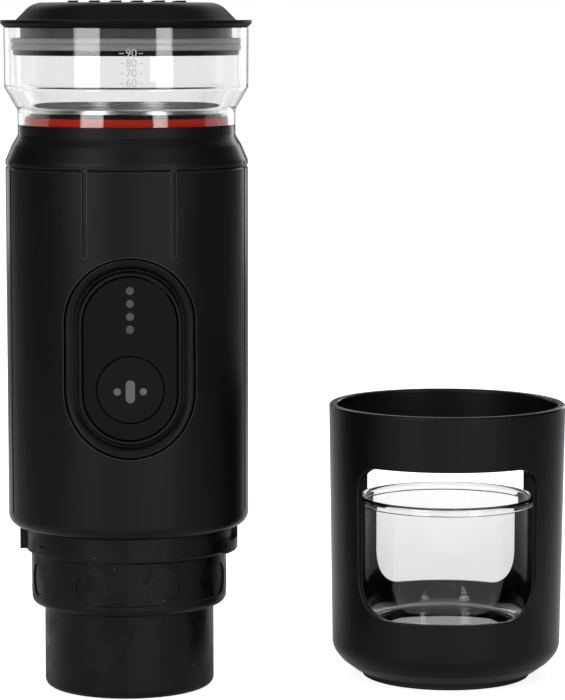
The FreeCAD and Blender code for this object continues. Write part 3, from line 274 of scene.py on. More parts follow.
# Edges are paled towards #252526: partly wear, partly a painted highlight.
edge_wear_and_highlight = worn_and_highlit_edges(tree, (tone, MIXED_COLOUR), "#252526", reach_mm=0.5)
tree.links.new(edge_wear_and_highlight.outputs[MIXED_COLOUR], shader.inputs["Base Color"])
dress(nylon_black, "outlet_cup", "grip_ring", "brew_head")

# %% [markdown]
# ## The panel and the button
#
# The panel face is a separate moulding with a finer, smoother grain than the housing, so it reads a touch
# darker and cleaner. The button has a soft-touch lacquer, which is duller still.

# %% Panel face and soft-touch button
panel_black, tree, shader, place = start_material("moulded_polycarbonate_panel_black", {
    "IOR": 1.58, "Specular IOR Level": 0.08})
grain = add_node(tree, "ShaderNodeTexNoise", {"Scale": cells_of(0.4), "Detail": 2.0},
                 {"Vector": (place, "Object")})
vary_surface(tree, shader, grain, ("#0a0a0b", "#0d0d0e"), (0.36, 0.46))
dress(panel_black, "panel_face")

button_black, tree, shader, place = start_material("soft_touch_lacquer_black", {
    "IOR": 1.5, "Specular IOR Level": 0.10})
grain = add_node(tree, "ShaderNodeTexNoise", {"Scale": cells_of(0.5), "Detail": 2.0},
                 {"Vector": (place, "Object")})
vary_surface(tree, shader, grain, ("#0e0e0f", "#121213"), (0.48, 0.58))
dress(button_black, "brew_button")

# %% [markdown]
# ## The lid
#
# The lid and its plug are polypropylene. It is a waxy plastic: its black is a little greyer than ABS, and
# the ribbed top picks up fine scuffs from being turned upside down, which run in all directions.

# %% Waxy black polypropylene
lid_black, tree, shader, place = start_material("moulded_polypropylene_black", {
    "IOR": 1.49, "Specular IOR Level": 0.07})
scuffs = add_node(tree, "ShaderNodeTexNoise", {"Scale": cells_of(1.2), "Detail": 6.0, "Roughness": 0.7,
                                               "Distortion": 1.5}, {"Vector": (place, "Object")})
tone = add_node(tree, "ShaderNodeMix", {
    "data_type": "RGBA", COLOUR_A: linear("#0c0c0d"), COLOUR_B: linear("#121213")}, {SHARE: (scuffs, "Fac")})
dulling = add_node(tree, "ShaderNodeMapRange", {"To Min": 0.34, "To Max": 0.52}, {"Value": (scuffs, "Fac")})
tree.links.new(dulling.outputs["Result"], shader.inputs["Roughness"])
relief = add_node(tree, "ShaderNodeBump", {"Strength": 0.2, "Distance": 0.02 * MM},
                  {"Height": (scuffs, "Fac")})
tree.links.new(relief.outputs["Normal"], shader.inputs["Normal"])
dress(lid_black, "lid", "lid_plug")

# %% [markdown]
# ## A grey band on the plug
#
# Above the seal the plug is drawn a paler grey, in upright runs. It could be a second material on part of
# the mesh, but its edge is soft, so it is mixed into the lid's colour by height: from the seal's lower edge
# it grows up to its upper edge, and it ends just below the tank's rim. The runs are ordinary noise, read from
# a place whose height counts twenty times less, which stretches it upright.

# %% Grey haze above the seal
seal_low, seal_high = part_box("lid_seal")
rim_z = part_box("water_tank")[1].z
haze_end, upright_stretch = 0.3 * MM, 0.05
up = add_node(tree, "ShaderNodeSeparateXYZ", links={0: (place, "Object")})
above_seal = add_node(tree, "ShaderNodeMapRange", {"From Min": seal_low.z, "From Max": seal_high.z},
                      {"Value": (up, "Z")})
below_rim = add_node(tree, "ShaderNodeMapRange", {"From Min": rim_z, "From Max": rim_z - haze_end},
                     {"Value": (up, "Z")})
inside = add_node(tree, "ShaderNodeMath", {"operation": "MULTIPLY"},
                  {0: (above_seal, "Result"), 1: (below_rim, "Result")})
stretched = add_node(tree, "ShaderNodeVectorMath", {"operation": "MULTIPLY", 1: (1.0, 1.0, upright_stretch)},
                     {0: (place, "Object")})
runs = add_node(tree, "ShaderNodeTexNoise", {"Scale": cells_of(3.0), "Detail": 4.0},
                {"Vector": (stretched, "Vector")})
# Upright runs of paler grey, mixed into the plug's colour between the seal and the rim.
grey_runs = add_node(tree, "ShaderNodeMix", {
    "data_type": "RGBA", COLOUR_A: linear("#4e4e50"), COLOUR_B: linear("#747476")}, {SHARE: (runs, "Fac")})
hazed = add_node(tree, "ShaderNodeMix", {"data_type": "RGBA"}, {
    SHARE: (inside, "Value"), COLOUR_A: (tone, MIXED_COLOUR), COLOUR_B: (grey_runs, MIXED_COLOUR)})
tree.links.new(hazed.outputs[MIXED_COLOUR], shader.inputs["Base Color"])
print("haze on the plug from", round(seal_low.z / MM, 1), "to", round(rim_z / MM, 1), "mm up")

# %% [markdown]
# ## Clear copolyester
#
# The tank and the cup are moulded from a clear, tough copolyester. It bends light almost as glass does. A
# moulded wall is never quite even: the melt leaves shallow waves some 14 mm apart, which make what is behind
# it swim a little. Fine wash marks dull it by a few percent.

# %% Clear copolyester
copolyester, tree, shader, place = start_material("moulded_copolyester_clear", {
    "IOR": 1.54, "Transmission Weight": 1.0})
waves = add_node(tree, "ShaderNodeTexNoise", {"Scale": cells_of(14), "Detail": 1.0},
                 {"Vector": (place, "Object")})
vary_surface(tree, shader, waves, ("#f8f8f8", "#fdfdfd"), (0.0, 0.03), relief=(0.2, 0.1))
dress(copolyester, "water_tank", "cup")

# %% [markdown]
# ## Silicone and rubber
#
# The seals are moulded silicone. It is soft, so it is never glossy, and light goes a little way into it,
# which is what makes the orange-red gasket glow behind the clear neck. Fine dust clings to it and greys the
# black charging cover and the holder's foot. All four differ only in colour, in gloss and in how deep light
# goes.

# %% Silicone seals, tubes and covers
silicones = {                       # two colours, how much light goes in, gloss, and what wears it
    "moulded_silicone_orange": ("#b21c00", "#c62400", 0.1, 0.1, ("tank_gasket",)),
    "moulded_silicone_grey": ("#8e8e90", "#9c9c9e", 0.15, 0.3, ("brew_seal", "lid_seal", "plunger_seal",
                                                               "button_dome")),
    "extruded_silicone_natural": ("#d2d2cb", "#e0e0da", 0.5, 0.3, ("pressure_tube", "suction_tube")),
    "moulded_rubber_black": ("#161617", "#232324", 0.0, 0.3, ("charge_cover", "holder_foot")),
}
for name, (deep, pale, depth, gloss, wearers) in silicones.items():
    silicone, tree, shader, place = start_material(name, {
        "IOR": 1.41, "Specular IOR Level": gloss, "Subsurface Weight": depth, "Subsurface Scale": 1.0 * MM,
        "Subsurface Radius": (1.0, 0.35, 0.2)})
    dust = add_node(tree, "ShaderNodeTexNoise", {"Scale": cells_of(1.5), "Detail": 5.0, "Roughness": 0.65},
                    {"Vector": (place, "Object")})
    vary_surface(tree, shader, dust, (deep, pale), (0.45, 0.65), relief=(0.3, 0.02))
    dress(silicone, *wearers)

# %% [markdown]
# ## Frosted light windows
#
# The four lights and the mark on the button are frosted polycarbonate. They are light pipes, so light goes
# well into them, and unlit they look a flat grey. The small lights sit over a dark board, so they are
# smokier.

# %% Frosted polycarbonate
frosted_greys = {
    "frosted_polycarbonate_smoke": ("#434344", "#4c4c4e", ("light_windows",)),
    "frosted_polycarbonate_grey": ("#58585a", "#616163", ("button_icon", "light_chips")),
}
for name, (deep, pale, wearers) in frosted_greys.items():
    frosted, tree, shader, place = start_material(name, {
        "IOR": 1.58, "Subsurface Weight": 0.3, "Subsurface Scale": 0.8 * MM, "Specular IOR Level": 0.25})
    frost = add_node(tree, "ShaderNodeTexNoise", {"Scale": cells_of(0.3), "Detail": 2.0},
                     {"Vector": (place, "Object")})
    vary_surface(tree, shader, frost, (deep, pale), (0.5, 0.62))
    dress(frosted, *wearers)

# %% [markdown]
# ## Metals that are turned or drawn round an axis
#
# The boiler cup, the basket and the screens are deep-drawn stainless steel, and the motor's can is zinc
# plated. Drawing and turning leave fine lines that run round the axis. To get them, the pattern isn't read
# from the place itself but from its distance to the axis and its height, so each line closes on itself.
# Real lines are near 0.05 mm apart; they are drawn at 0.5 mm. The metals keep the shader's own IOR.

# %% Drawn and turned metals
drawn_metals = {                    # two colours, two roughnesses, and what wears it
    "drawn_stainless_steel": ("#bdbcb8", "#d3d2ce", 0.20, 0.36, (
        "boiler_cup", "filter_basket", "shower_screen", "shower_screw", "heating_element", "pump_plunger",
        "frame_screws", "chassis_screws", "gear_clip", "charge_socket")),
    "zinc_plated_steel": ("#9a9da2", "#b4b6ba", 0.28, 0.44, ("motor_can", "motor_rotor")),
    "die_cast_aluminium": ("#adafb2", "#c6c8ca", 0.42, 0.60, ("heater_plate",)),
    "nickel_strip": ("#a8a290", "#bcb6a4", 0.25, 0.40, ("cell_strips",)),
}
for name, (deep, pale, smooth, dull, wearers) in drawn_metals.items():
    metal, tree, shader, place = start_material(name, {"Metallic": 1.0})
    flat = add_node(tree, "ShaderNodeVectorMath", {"operation": "MULTIPLY", 1: (1.0, 1.0, 0.0)},
                    {0: (place, "Object")})
    radius = add_node(tree, "ShaderNodeVectorMath", {"operation": "LENGTH"}, {0: (flat, "Vector")})
    height = add_node(tree, "ShaderNodeSeparateXYZ", links={0: (place, "Object")})
    ringed = add_node(tree, "ShaderNodeCombineXYZ", links={"X": (radius, "Value"), "Y": (height, "Z")})
    lines = add_node(tree, "ShaderNodeTexNoise", {"Scale": cells_of(0.5), "Detail": 2.0},
                     {"Vector": (ringed, "Vector")})
    vary_surface(tree, shader, lines, (deep, pale), (smooth, dull), relief=(0.15, 0.02))
    dress(metal, *wearers)

# %% [markdown]
# ## Inner mouldings
#
# The frames and pump body inside are glass-filled nylon too, but nobody polished their moulds, so the short
# fibres show as dull streaks a few millimetres long. The gear is natural acetal, which is milky and slick.
# The magnets are sintered ferrite: dark, dry and grainy. Each differs in the size of its fibres or grains,
# which is given for the three directions, so the place is scaled before the noise reads it.

# %% Structural nylon, acetal and ferrite
inner_solids = {                    # two colours, two roughnesses, the fibres' size in mm, and what wears it
    "glass_filled_nylon_grey": ("#2c2c2e", "#3b3b3e", 0.48, 0.64, (0.6, 0.6, 3.5), (
        "pump_frame", "pump_body", "chassis", "insulation_ring", "thermostat", "tact_switch")),
    "machined_acetal_natural": ("#dcd8c8", "#ebe8db", 0.30, 0.38, (0.4, 0.4, 2.0), ("crank_gear",)),
    "sintered_ferrite": ("#2f3033", "#46474b", 0.55, 0.80, (0.3, 0.3, 0.3), ("motor_magnets",)),
}
for name, (deep, pale, smooth, dull, fibre_mm, wearers) in inner_solids.items():
    solid, tree, shader, place = start_material(name, {"IOR": 1.52})
    stretch = add_node(tree, "ShaderNodeVectorMath", {
        "operation": "MULTIPLY", 1: [cells_of(size) for size in fibre_mm]}, {0: (place, "Object")})
    fibres = add_node(tree, "ShaderNodeTexNoise", {"Scale": 1.0, "Detail": 3.0},
                      {"Vector": (stretch, "Vector")})
    vary_surface(tree, shader, fibres, (deep, pale), (smooth, dull), relief=(0.2, 0.03))
    dress(solid, *wearers)

# %% [markdown]
# ## Boards and battery cells
#
# A circuit board is glass laminate under green solder mask, and its copper tracks show through as slightly
# paler bars on a fine grid. The Brick texture draws them; its rows are a quarter of a unit high, so its
# scale is set for rows of 1 mm. A cell wears a thin shrink sleeve, drawn tight by heat, so it is glossy
# with faint wrinkles.

# %% Laminate and shrink sleeve
brick_row = 0.25                    # the height of a row, in the texture's own units
laminate, tree, shader, place = start_material("solder_mask_green", {"IOR": 1.5, "Coat Weight": 0.3})
tracks = add_node(tree, "ShaderNodeTexBrick", {
    "Scale": brick_row * cells_of(1.0), "Color1": linear("#0c3b1c"), "Color2": linear("#11492a"),
    "Mortar": linear("#1d6b3c"), "Mortar Size": 0.02}, {"Vector": (place, "Object")})
tree.links.new(tracks.outputs["Color"], shader.inputs["Base Color"])
dulling = add_node(tree, "ShaderNodeMapRange", {"To Min": 0.30, "To Max": 0.45}, {"Value": (tracks, "Fac")})
tree.links.new(dulling.outputs["Result"], shader.inputs["Roughness"])
dress(laminate, "control_board", "charge_board")

sleeve, tree, shader, place = start_material("shrink_sleeve_blue", {"IOR": 1.53})
wrinkles = add_node(tree, "ShaderNodeTexNoise", {"Scale": cells_of(4.0), "Detail": 3.0, "Distortion": 0.8},
                    {"Vector": (place, "Object")})
vary_surface(tree, shader, wrinkles, ("#1f5a94", "#2668a6"), (0.18, 0.30), relief=(0.4, 0.08))
dress(sleeve, "battery_cells")

# %% [markdown]
# ## The dished bezel
#
# Round the panel lies a dished channel: it starts flush with the housing's curve, sinks towards the middle,
# and ends at the foot of a raised, rounded lip that frames the flat panel. A boolean would leave its changing
# depth rough. It is easier to draw its cross-section once and carry that round an oval path, while the part
# that belongs to the housing follows the cylinder's curve and the lip stays flat.

# %% The oval path of the panel
panel_low, panel_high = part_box("panel_face")
bezel_low, bezel_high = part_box("bezel_ring")
panel_z = (panel_low.z + panel_high.z) / 2
housing_low, housing_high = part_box("housing_shell")
housing_radius = (housing_high.x - housing_low.x) / 2
bezel_radius = (bezel_high.x - bezel_low.x) / 2
half_straight = (bezel_high.z - bezel_low.z) / 2 - bezel_radius
arc_steps, straight_steps = 64, 10
stations = []                       # (height of the arc's centre, outward x, outward z)
for side in (1, -1):
    for i in range(arc_steps):
        angle = math.pi * (i / arc_steps + (0 if side > 0 else 1))
        stations.append((side * half_straight, math.cos(angle), math.sin(angle)))
    for i in range(straight_steps):
        stations.append((side * half_straight * (1 - 2 * i / straight_steps), -side, 0.0))
print("oval path:", len(stations), "stations, bezel radius", round(bezel_radius / MM, 2), "mm")

# %% [markdown]
# ## The bezel's cross-section
#
# From outside to inside the section has four stretches, all in millimetres. A small rounded edge stands
# beside a seam, the shadow gap to the housing. The channel then slopes down, slowly at first. A smooth rise
# leads up to the lip, and the lip's rounded top ends at the panel. The foot of the slope is deeper above and
# below the panel than beside it, because the housing curves away at the sides.

# %% Sizes of the cross-section
seam_width = 0.32
edge_depth = 0.2                    # of the channel's outer edge below the housing's curve
rounded_edge = [(seam_width, 2.6), (seam_width, 0.5), (0.44, 0.32), (0.58, 0.22), (0.8, edge_depth)]
slope_width, slope_steps, slope_power = 2.7, 12, 1.6
foot_depth, foot_shallower = 2.6, 1.1           # above and below the panel, and how much less beside it
lip_radius, lip_drop, rise_steps = 14.75, 0.25, 8
rounded_lip = [(14.62, 0.08), (14.45, 0.0), (14.2, 0.0), (14.02, 0.06), (13.92, 0.2), (13.87, 0.45),
               (13.85, 0.8), (13.85, 2.4)]
back_depth = 1.6                    # of the section's back below its foot


def housing_y(x, depth):
    """How far forward the housing's curve is at x, less a depth below it."""
    return math.sqrt(housing_radius ** 2 - x * x) - depth


def bezel_section(outward_x):
    """(radius, forward place) points round the section where the path faces outward_x sideways."""
    edge_points = rounded_edge.copy()
    start, depth_here = edge_points[-1][0], foot_depth - foot_shallower * abs(outward_x)
    for i in range(1, slope_steps + 1):
        share = i / slope_steps
        edge_points.append((start + slope_width * share,
                            edge_depth + (depth_here - edge_depth) * share ** slope_power))
    points = []
    for inset, depth in edge_points:
        radius = bezel_radius - inset * MM
        points.append((radius, housing_y(radius * outward_x, depth * MM)))
    foot_radius, foot_y = points[-1]
    lip_y = -bezel_low.y
    for i in range(1, rise_steps + 1):
        share = i / rise_steps
        eased = share * share * (3 - 2 * share)
        points.append((foot_radius + (lip_radius * MM - foot_radius) * share,
                       foot_y + (lip_y - lip_drop * MM - foot_y) * eased))
    for radius, drop in rounded_lip:
        points.append((radius * MM, lip_y - drop * MM))
    points.append((foot_radius, min(foot_y, lip_y) - back_depth * MM))
    return points


print("section points:", len(bezel_section(0.0)))


# %% [markdown]
# ## From loops of points to a piece
#
# The bezel and the dome below are both a closed band: loops of points, each joined to the next. A curve with
# a bevel could draw such a band, but its section would be the same all the way round. Mesh code lets every
# loop differ, and gives clean four-sided faces. One more function turns a finished bmesh into an object that
# is smooth except at its sharp edges, puts it on its body, and gives it its material.


# %% Join loops, and finish a piece
def join_loops(mesh, loops):
    """Joins each closed loop of points to the next, and the last to the first, with four-sided faces."""
    for here, beyond in zip(loops, loops[1:] + loops[:1]):
        for i in range(len(here)):
            j = (i + 1) % len(here)
            mesh.faces.new((here[i], here[j], beyond[j], beyond[i]))
    bmesh.ops.recalc_face_normals(mesh, faces=mesh.faces)


def finish_piece(mesh, name, material, body, sharp_degrees=40.0):
    """Turns a bmesh into a smooth piece that rides on a body."""
    data = bpy.data.meshes.new(name)
    mesh.to_mesh(data)
    mesh.free()
    data.materials.append(material)
    data.shade_smooth()
    data.set_sharp_from_angle(angle=math.radians(sharp_degrees))
    piece = bpy.data.objects.new(name, data)
    bpy.context.scene.collection.objects.link(piece)
    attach(piece, body)
    print(name, "rides on", body, "with", len(data.polygons), "faces")
    return piece


# %% Carry the section round the path
bezel_mesh = bmesh.new()
loops = []
for centre_z, outward_x, outward_z in stations:
    arc_z = panel_z + centre_z
    loops.append([bezel_mesh.verts.new((radius * outward_x, -forward, arc_z + radius * outward_z))
                  for radius, forward in bezel_section(outward_x)])
join_loops(bezel_mesh, loops)
bezel = finish_piece(bezel_mesh, "dished_bezel", abs_black, "main")
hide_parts("bezel_ring")

# %% [markdown]
# ## The button's return dome
#
# Under the button sits a soft silicone sleeve that pushes it back out. It buckles when it is pressed, so it
# is drawn with a waist half way along. A short profile turned round the button's axis gives it, as turning
# does on a lathe.

# %% Turn the return dome
dome_low, dome_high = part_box("button_dome")
dome_centre = (dome_low + dome_high) / 2
dome_radius = (dome_high.x - dome_low.x) / 2
dome_depth = dome_high.y - dome_low.y
dome_wall, waist = 1.1 * MM, 0.35 * MM
steps_along, steps_around = 6, 48
profile = []
for step in range(steps_along + 1):
    share = step / steps_along
    profile.append((dome_radius - waist * math.sin(math.pi * share), dome_low.y + dome_depth * share))
profile += [(radius - dome_wall, y) for radius, y in reversed(profile)]
dome_mesh = bmesh.new()
loops = []
for step in range(steps_around):
    turn = 2 * math.pi * step / steps_around
    loops.append([dome_mesh.verts.new((radius * math.cos(turn), y, dome_centre.z + radius * math.sin(turn)))
                  for radius, y in profile])
join_loops(dome_mesh, loops)

# %% Put the dome piece in place of the model's dome, with a mesh of its own
dome_silicone = nodes["button_dome"].material_slots[0].material
return_dome = finish_piece(dome_mesh, "return_dome", dome_silicone, "main")
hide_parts("button_dome")
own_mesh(return_dome)

# %% [markdown]
# ## The water scale
#
# Four short marks and numbers, 10 ml apart, are printed on the tank's front. Text could be projected as a
# picture, but real thin letters stay sharp at any distance. The numbers are made flat from Blender's own
# font, with a short dash on each side, then each of their points is wrapped round the tank's wall. The pad
# that prints them leaves the ink thinner here and there, so its grey is speckled.

# %% Pad-printed ink
ink, tree, shader, place = start_material("pad_printed_ink_grey", {"IOR": 1.5, "Specular IOR Level": 0.3})
speckle = add_node(tree, "ShaderNodeTexNoise", {"Scale": cells_of(0.2), "Detail": 2.0},
                   {"Vector": (place, "Object")})
vary_surface(tree, shader, speckle, ("#a2a2a5", "#c0c0c3"), (0.5, 0.7))
print("ink:", ink.name)

# %% Flat numbers and dashes
mark_heights = {"60": 181.3, "70": 184.1, "80": 186.95, "90": 189.8}       # all sizes in mm
digit_size, digit_middle, outline_steps = 3.3, 0.75, 4
dashes, dash_half_width, dash_steps = ((-2.75, -1.3), (2.85, 4.1)), 0.1, 4
marks_mesh = bmesh.new()
for digits, mark_z in mark_heights.items():
    curve = bpy.data.curves.new("digits", "FONT")
    curve.body = digits
    curve.size = digit_size * MM
    curve.align_x, curve.align_y = "CENTER", "CENTER"
    curve.resolution_u = outline_steps
    holder = bpy.data.objects.new("digits", curve)
    flat_mesh = bpy.data.meshes.new_from_object(holder)
    flat_mesh.transform(Matrix.Translation((digit_middle * MM, mark_z * MM, 0.0)))
    marks_mesh.from_mesh(flat_mesh)
    bpy.data.objects.remove(holder)
    for left, right in dashes:
        places = [(left + (right - left) * i / dash_steps) * MM for i in range(dash_steps + 1)]
        lower = [marks_mesh.verts.new((x, (mark_z - dash_half_width) * MM, 0.0)) for x in places]
        upper = [marks_mesh.verts.new((x, (mark_z + dash_half_width) * MM, 0.0)) for x in places]
        for i in range(dash_steps):
            marks_mesh.faces.new((lower[i], lower[i + 1], upper[i + 1], upper[i]))
print("flat marks:", len(marks_mesh.faces), "faces")

# %% Wrap the marks round the tank
tank_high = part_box("water_tank")[1]
ink_thickness = 0.05 * MM
wall_low_z, wall_low_radius = 179.5 * MM, 36.1 * MM     # where the tank's nearly upright wall starts
taper = (tank_high.x - wall_low_radius) / (tank_high.z - wall_low_z)
extruded = bmesh.ops.extrude_face_region(marks_mesh, geom=list(marks_mesh.faces))
raised = {v for v in extruded["geom"] if isinstance(v, bmesh.types.BMVert)}
for vertex in marks_mesh.verts:
    x, z = vertex.co.x, vertex.co.y
    radius = wall_low_radius + taper * (z - wall_low_z) + (ink_thickness if vertex in raised else 0.0)
    vertex.co = Vector((radius * math.sin(x / radius), -radius * math.cos(x / radius), z))
bmesh.ops.recalc_face_normals(marks_mesh, faces=marks_mesh.faces)
finish_piece(marks_mesh, "water_scale", ink, "tank")

# %% [markdown]
# ## How each kind of ray sees the backdrop
#
# The floor and the background are white to the camera, which the light path makes sure of without adding
# light to the object. Clear plastic shows them white too. A shiny surface sees the white only behind the
# object, while the studio in front of it, on the camera's side, is dim. That is what leaves black plastic
# black, with a bright line along each side. A ray that has bounced inside clear plastic and then left it is
# dim only to the front, so the walls keep clean edges. Front and back are read from the scene's own Y axis,
# so they stay put when the view changes.


# %% Sort the rays
def seen_strength(tree, backwards, mirrored, bounced, otherwise):
    """The backdrop's strength for each kind of ray.

    backwards is the (node, output) that grows to the back. mirrored says where a shiny surface's view starts
    to brighten, where it ends, and how bright it gets. bounced says the first two for rays that have bounced
    inside clear plastic, which end at full white. otherwise is the strength as light on the object.
    """
    dim_front, full_white = 0.06, 1.0
    path = add_node(tree, "ShaderNodeLightPath")
    mirror_view = add_node(tree, "ShaderNodeMapRange", {
        "interpolation_type": "SMOOTHSTEP", "From Min": mirrored[0], "From Max": mirrored[1],
        "To Min": dim_front, "To Max": mirrored[2]}, {"Value": backwards})
    bounced_view = add_node(tree, "ShaderNodeMapRange", {
        "interpolation_type": "SMOOTHSTEP", "From Min": bounced[0], "From Max": bounced[1],
        "To Min": dim_front, "To Max": full_white}, {"Value": backwards})
    straight = add_node(tree, "ShaderNodeMath", {"operation": "LESS_THAN", 1: 0.5},
                        {0: (path, "Glossy Depth")})
    clear_view = add_node(tree, "ShaderNodeMath", {"operation": "MAXIMUM"},
                          {0: (straight, "Value"), 1: (bounced_view, "Result")})
    glossy = add_node(tree, "ShaderNodeMix", {"data_type": "FLOAT", NUMBER_A: otherwise},
                      {SHARE: (path, "Is Glossy Ray"), NUMBER_B: (mirror_view, "Result")})
    refracted = add_node(tree, "ShaderNodeMix", {"data_type": "FLOAT"}, {
        SHARE: (path, "Is Transmission Ray"), NUMBER_A: (glossy, MIXED_NUMBER),
        NUMBER_B: (clear_view, "Value")})
    return add_node(tree, "ShaderNodeMix", {"data_type": "FLOAT", NUMBER_B: full_white},
                    {SHARE: (path, "Is Camera Ray"), NUMBER_A: (refracted, MIXED_NUMBER)})


# %% [markdown]
# ## The pale floor
#
# The floor is a plain sheet of matt paper. Near the object its white comes partly from real light, so that it
# still shows the shadow that ties the maker to it. Further off it turns to the background's own white, so no
# horizon shows. It lies a hair below the object, so that no two surfaces share a place.

# %% The floor's sheet
floor_reach, floor_drop = 6.0, 0.05 * MM
floor_mesh = bmesh.new()
corners = [(-1, -1), (1, -1), (1, 1), (-1, 1)]
floor_mesh.faces.new([floor_mesh.verts.new((x * floor_reach, y * floor_reach, -floor_drop))
                      for x, y in corners])
floor_data = bpy.data.meshes.new("pale_floor")
floor_mesh.to_mesh(floor_data)
floor_mesh.free()
floor = bpy.data.objects.new("pale_floor", floor_data)
bpy.context.scene.collection.objects.link(floor)
print("floor:", 2 * floor_reach, "m wide")

# %% The white that the floor shows
paper = bpy.data.materials.new("matt_paper_white")
paper.use_nodes = True
tree = paper.node_tree
tree.nodes.clear()
place = add_node(tree, "ShaderNodeTexCoord")
axes = add_node(tree, "ShaderNodeSeparateXYZ", links={0: (place, "Object")})
seen = seen_strength(tree, (axes, "Y"), mirrored=(0.0, 0.5, 0.3), bounced=(0.1, 0.6), otherwise=0.0)
between_items = (50 * MM, 0.0, 0.0)         # between the maker and its holder
offset = add_node(tree, "ShaderNodeVectorMath", {"operation": "SUBTRACT", 1: between_items},
                  {0: (place, "Object")})
away = add_node(tree, "ShaderNodeVectorMath", {"operation": "LENGTH"}, {0: (offset, "Vector")})
near_glow, shadow_reach, white_from = 0.79, 0.12, 0.45     # a share of white, and two distances in m
level = add_node(tree, "ShaderNodeMapRange", {
    "interpolation_type": "SMOOTHSTEP", "From Min": shadow_reach, "From Max": white_from,
    "To Min": near_glow, "To Max": 1.0}, {"Value": (away, "Value")})
strength = add_node(tree, "ShaderNodeMath", {"operation": "MULTIPLY"},
                    {0: (seen, MIXED_NUMBER), 1: (level, "Result")})
glow = add_node(tree, "ShaderNodeEmission", {"Color": linear("#ffffff")}, {"Strength": (strength, "Value")})
print("the floor glows at", near_glow, "of white up to", shadow_reach, "m away")

# %% [markdown]
# ## The light that the floor sends back
#
# The paper also reflects the lamps, as any paper does. Most of that helps, but in two places it does harm.
# Low, shiny surfaces would mirror metres of lit paper and grey over, so a mirror sees it fade with distance.
# The clear neck would lay a milky veil over the gasket behind it, so clear plastic hides three quarters of
# it. Both turn the paper's colour dark for those rays alone.

# %% The floor's reflected light
mirror_reach, hidden_behind_clear = 0.85, 0.75
path = add_node(tree, "ShaderNodeLightPath")
beyond = add_node(tree, "ShaderNodeMapRange", {
    "interpolation_type": "SMOOTHSTEP", "From Min": 0.0, "From Max": mirror_reach},
                  {"Value": (away, "Value")})
fading = add_node(tree, "ShaderNodeMath", {"operation": "MULTIPLY"},
                  {0: (path, "Is Glossy Ray"), 1: (beyond, "Result")})
behind_clear = add_node(tree, "ShaderNodeMath", {"operation": "MULTIPLY", 1: hidden_behind_clear},
                        {0: (path, "Is Transmission Ray")})
unlit = add_node(tree, "ShaderNodeMath", {"operation": "MAXIMUM"},
                 {0: (behind_clear, "Value"), 1: (fading, "Value")})
lit = add_node(tree, "ShaderNodeMix", {
    "data_type": "RGBA", COLOUR_A: linear("#e6e6e6"), COLOUR_B: linear("#202020")}, {SHARE: (unlit, "Value")})
sheet = add_node(tree, "ShaderNodeBsdfDiffuse", links={"Color": (lit, MIXED_COLOUR)})
both = add_node(tree, "ShaderNodeAddShader", links={0: (glow, "Emission"), 1: (sheet, "BSDF")})
add_node(tree, "ShaderNodeOutputMaterial", links={"Surface": (both, "Shader")})
floor_data.materials.append(paper)
print("paper:", paper.name, "with", len(tree.nodes), "nodes")

# %% [markdown]
# ## The background
#
# The world is what every ray meets that misses the floor. Besides the white that is seen, it gives a weak
# fill light from all round, which keeps the shadows soft.

# %% The white studio
world = bpy.data.worlds.new("white_studio")
world.use_nodes = True
bpy.context.scene.world = world
tree = world.node_tree
tree.nodes.clear()
direction = add_node(tree, "ShaderNodeTexCoord")
axes = add_node(tree, "ShaderNodeSeparateXYZ", links={0: (direction, "Generated")})
fill = 0.20
strength = seen_strength(tree, (axes, "Y"), mirrored=(0.78, 1.0, 0.25), bounced=(-0.3, 0.5), otherwise=fill)
sky = add_node(tree, "ShaderNodeBackground", {"Color": linear("#ffffff")},
               {"Strength": (strength, MIXED_NUMBER)})
add_node(tree, "ShaderNodeOutputWorld", links={"Surface": (sky, "Background")})
print("background: white to the camera, with a fill of", fill, "for everything else")

# %% [markdown]
# ## Studio light
#
# Two tall softboxes stand in front, one each side of the camera. They draw the two bright upright bars in
# the clear tank, and their soft glow shapes the black cylinder. A low strip between them lifts the middle of
# the cylinder, which faces neither. A wide, weaker box above lights the lid and the floor. Three boxes stand
# behind: they draw the thin bright line down each side, and give the back its form when it is looked at.
# Each is given by the direction it comes from and by how bright its face is, since that is what its
# reflection shows; its power follows from its size.

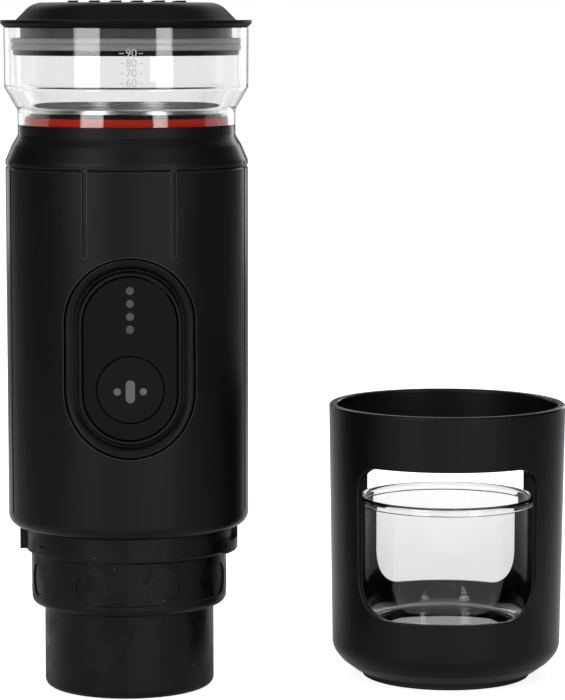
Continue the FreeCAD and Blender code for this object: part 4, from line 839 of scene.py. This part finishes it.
# %% Softboxes
softboxes = {               # degrees round from the camera; distance, height, width, length in m; brightness
    "softbox_left": (-39.0, 1.15, 0.52, 0.55, 1.0, 4.4),
    "softbox_right": (33.5, 1.15, 0.45, 0.34, 1.0, 4.5),
    "softbox_front": (8.0, 1.15, 0.05, 0.50, 0.09, 7.5),
    "softbox_above": (0.0, 0.15, 1.25, 1.2, 1.2, 0.9),
    "softbox_back_right": (149.0, 1.15, 0.50, 0.25, 1.0, 2.0),
    "softbox_back_left": (-155.0, 1.15, 0.50, 0.20, 1.0, 0.9),
    "softbox_back": (180.0, 1.15, 0.80, 0.80, 0.35, 3.0),
}
aim = Vector((30.0 * MM, 0.0, 100.0 * MM))
for name, (angle, distance, height, width, length, brightness) in softboxes.items():
    lamp = bpy.data.lights.new(name, "AREA")
    lamp.shape = "RECTANGLE"
    lamp.size, lamp.size_y = width, length
    lamp.energy = brightness * math.pi * width * length
    stand = bpy.data.objects.new(name, lamp)
    turn = math.radians(angle)
    stand.location = (aim.x + distance * math.sin(turn), -distance * math.cos(turn), height)
    stand.rotation_euler = (stand.location - aim).to_track_quat("Z", "Y").to_euler()
    stand.visible_camera = False
    bpy.context.scene.collection.objects.link(stand)
    print(name, "power", round(lamp.energy, 2), "W")

# %% [markdown]
# ## Keeping the strip out of the tank
#
# The low strip is meant for the black plastic, but the tank's far wall would mirror it as a short white
# line beside the numbers. In a studio a dark card would hide it from there. Here the strip's own shader
# does that: it gives no light to a ray that has come through clear plastic.

# %% Hide the low strip from what is behind clear plastic
strip = bpy.data.lights["softbox_front"]
strip.use_nodes = True
tree = strip.node_tree
tree.nodes.clear()
path = add_node(tree, "ShaderNodeLightPath")
outside = add_node(tree, "ShaderNodeMath", {"operation": "LESS_THAN", 1: 0.5},
                   {0: (path, "Transmission Depth")})
glow = add_node(tree, "ShaderNodeEmission", links={"Strength": (outside, "Value")})
add_node(tree, "ShaderNodeOutputLight", links={"Surface": (glow, "Emission")})
print("the low strip shows on opaque surfaces only")
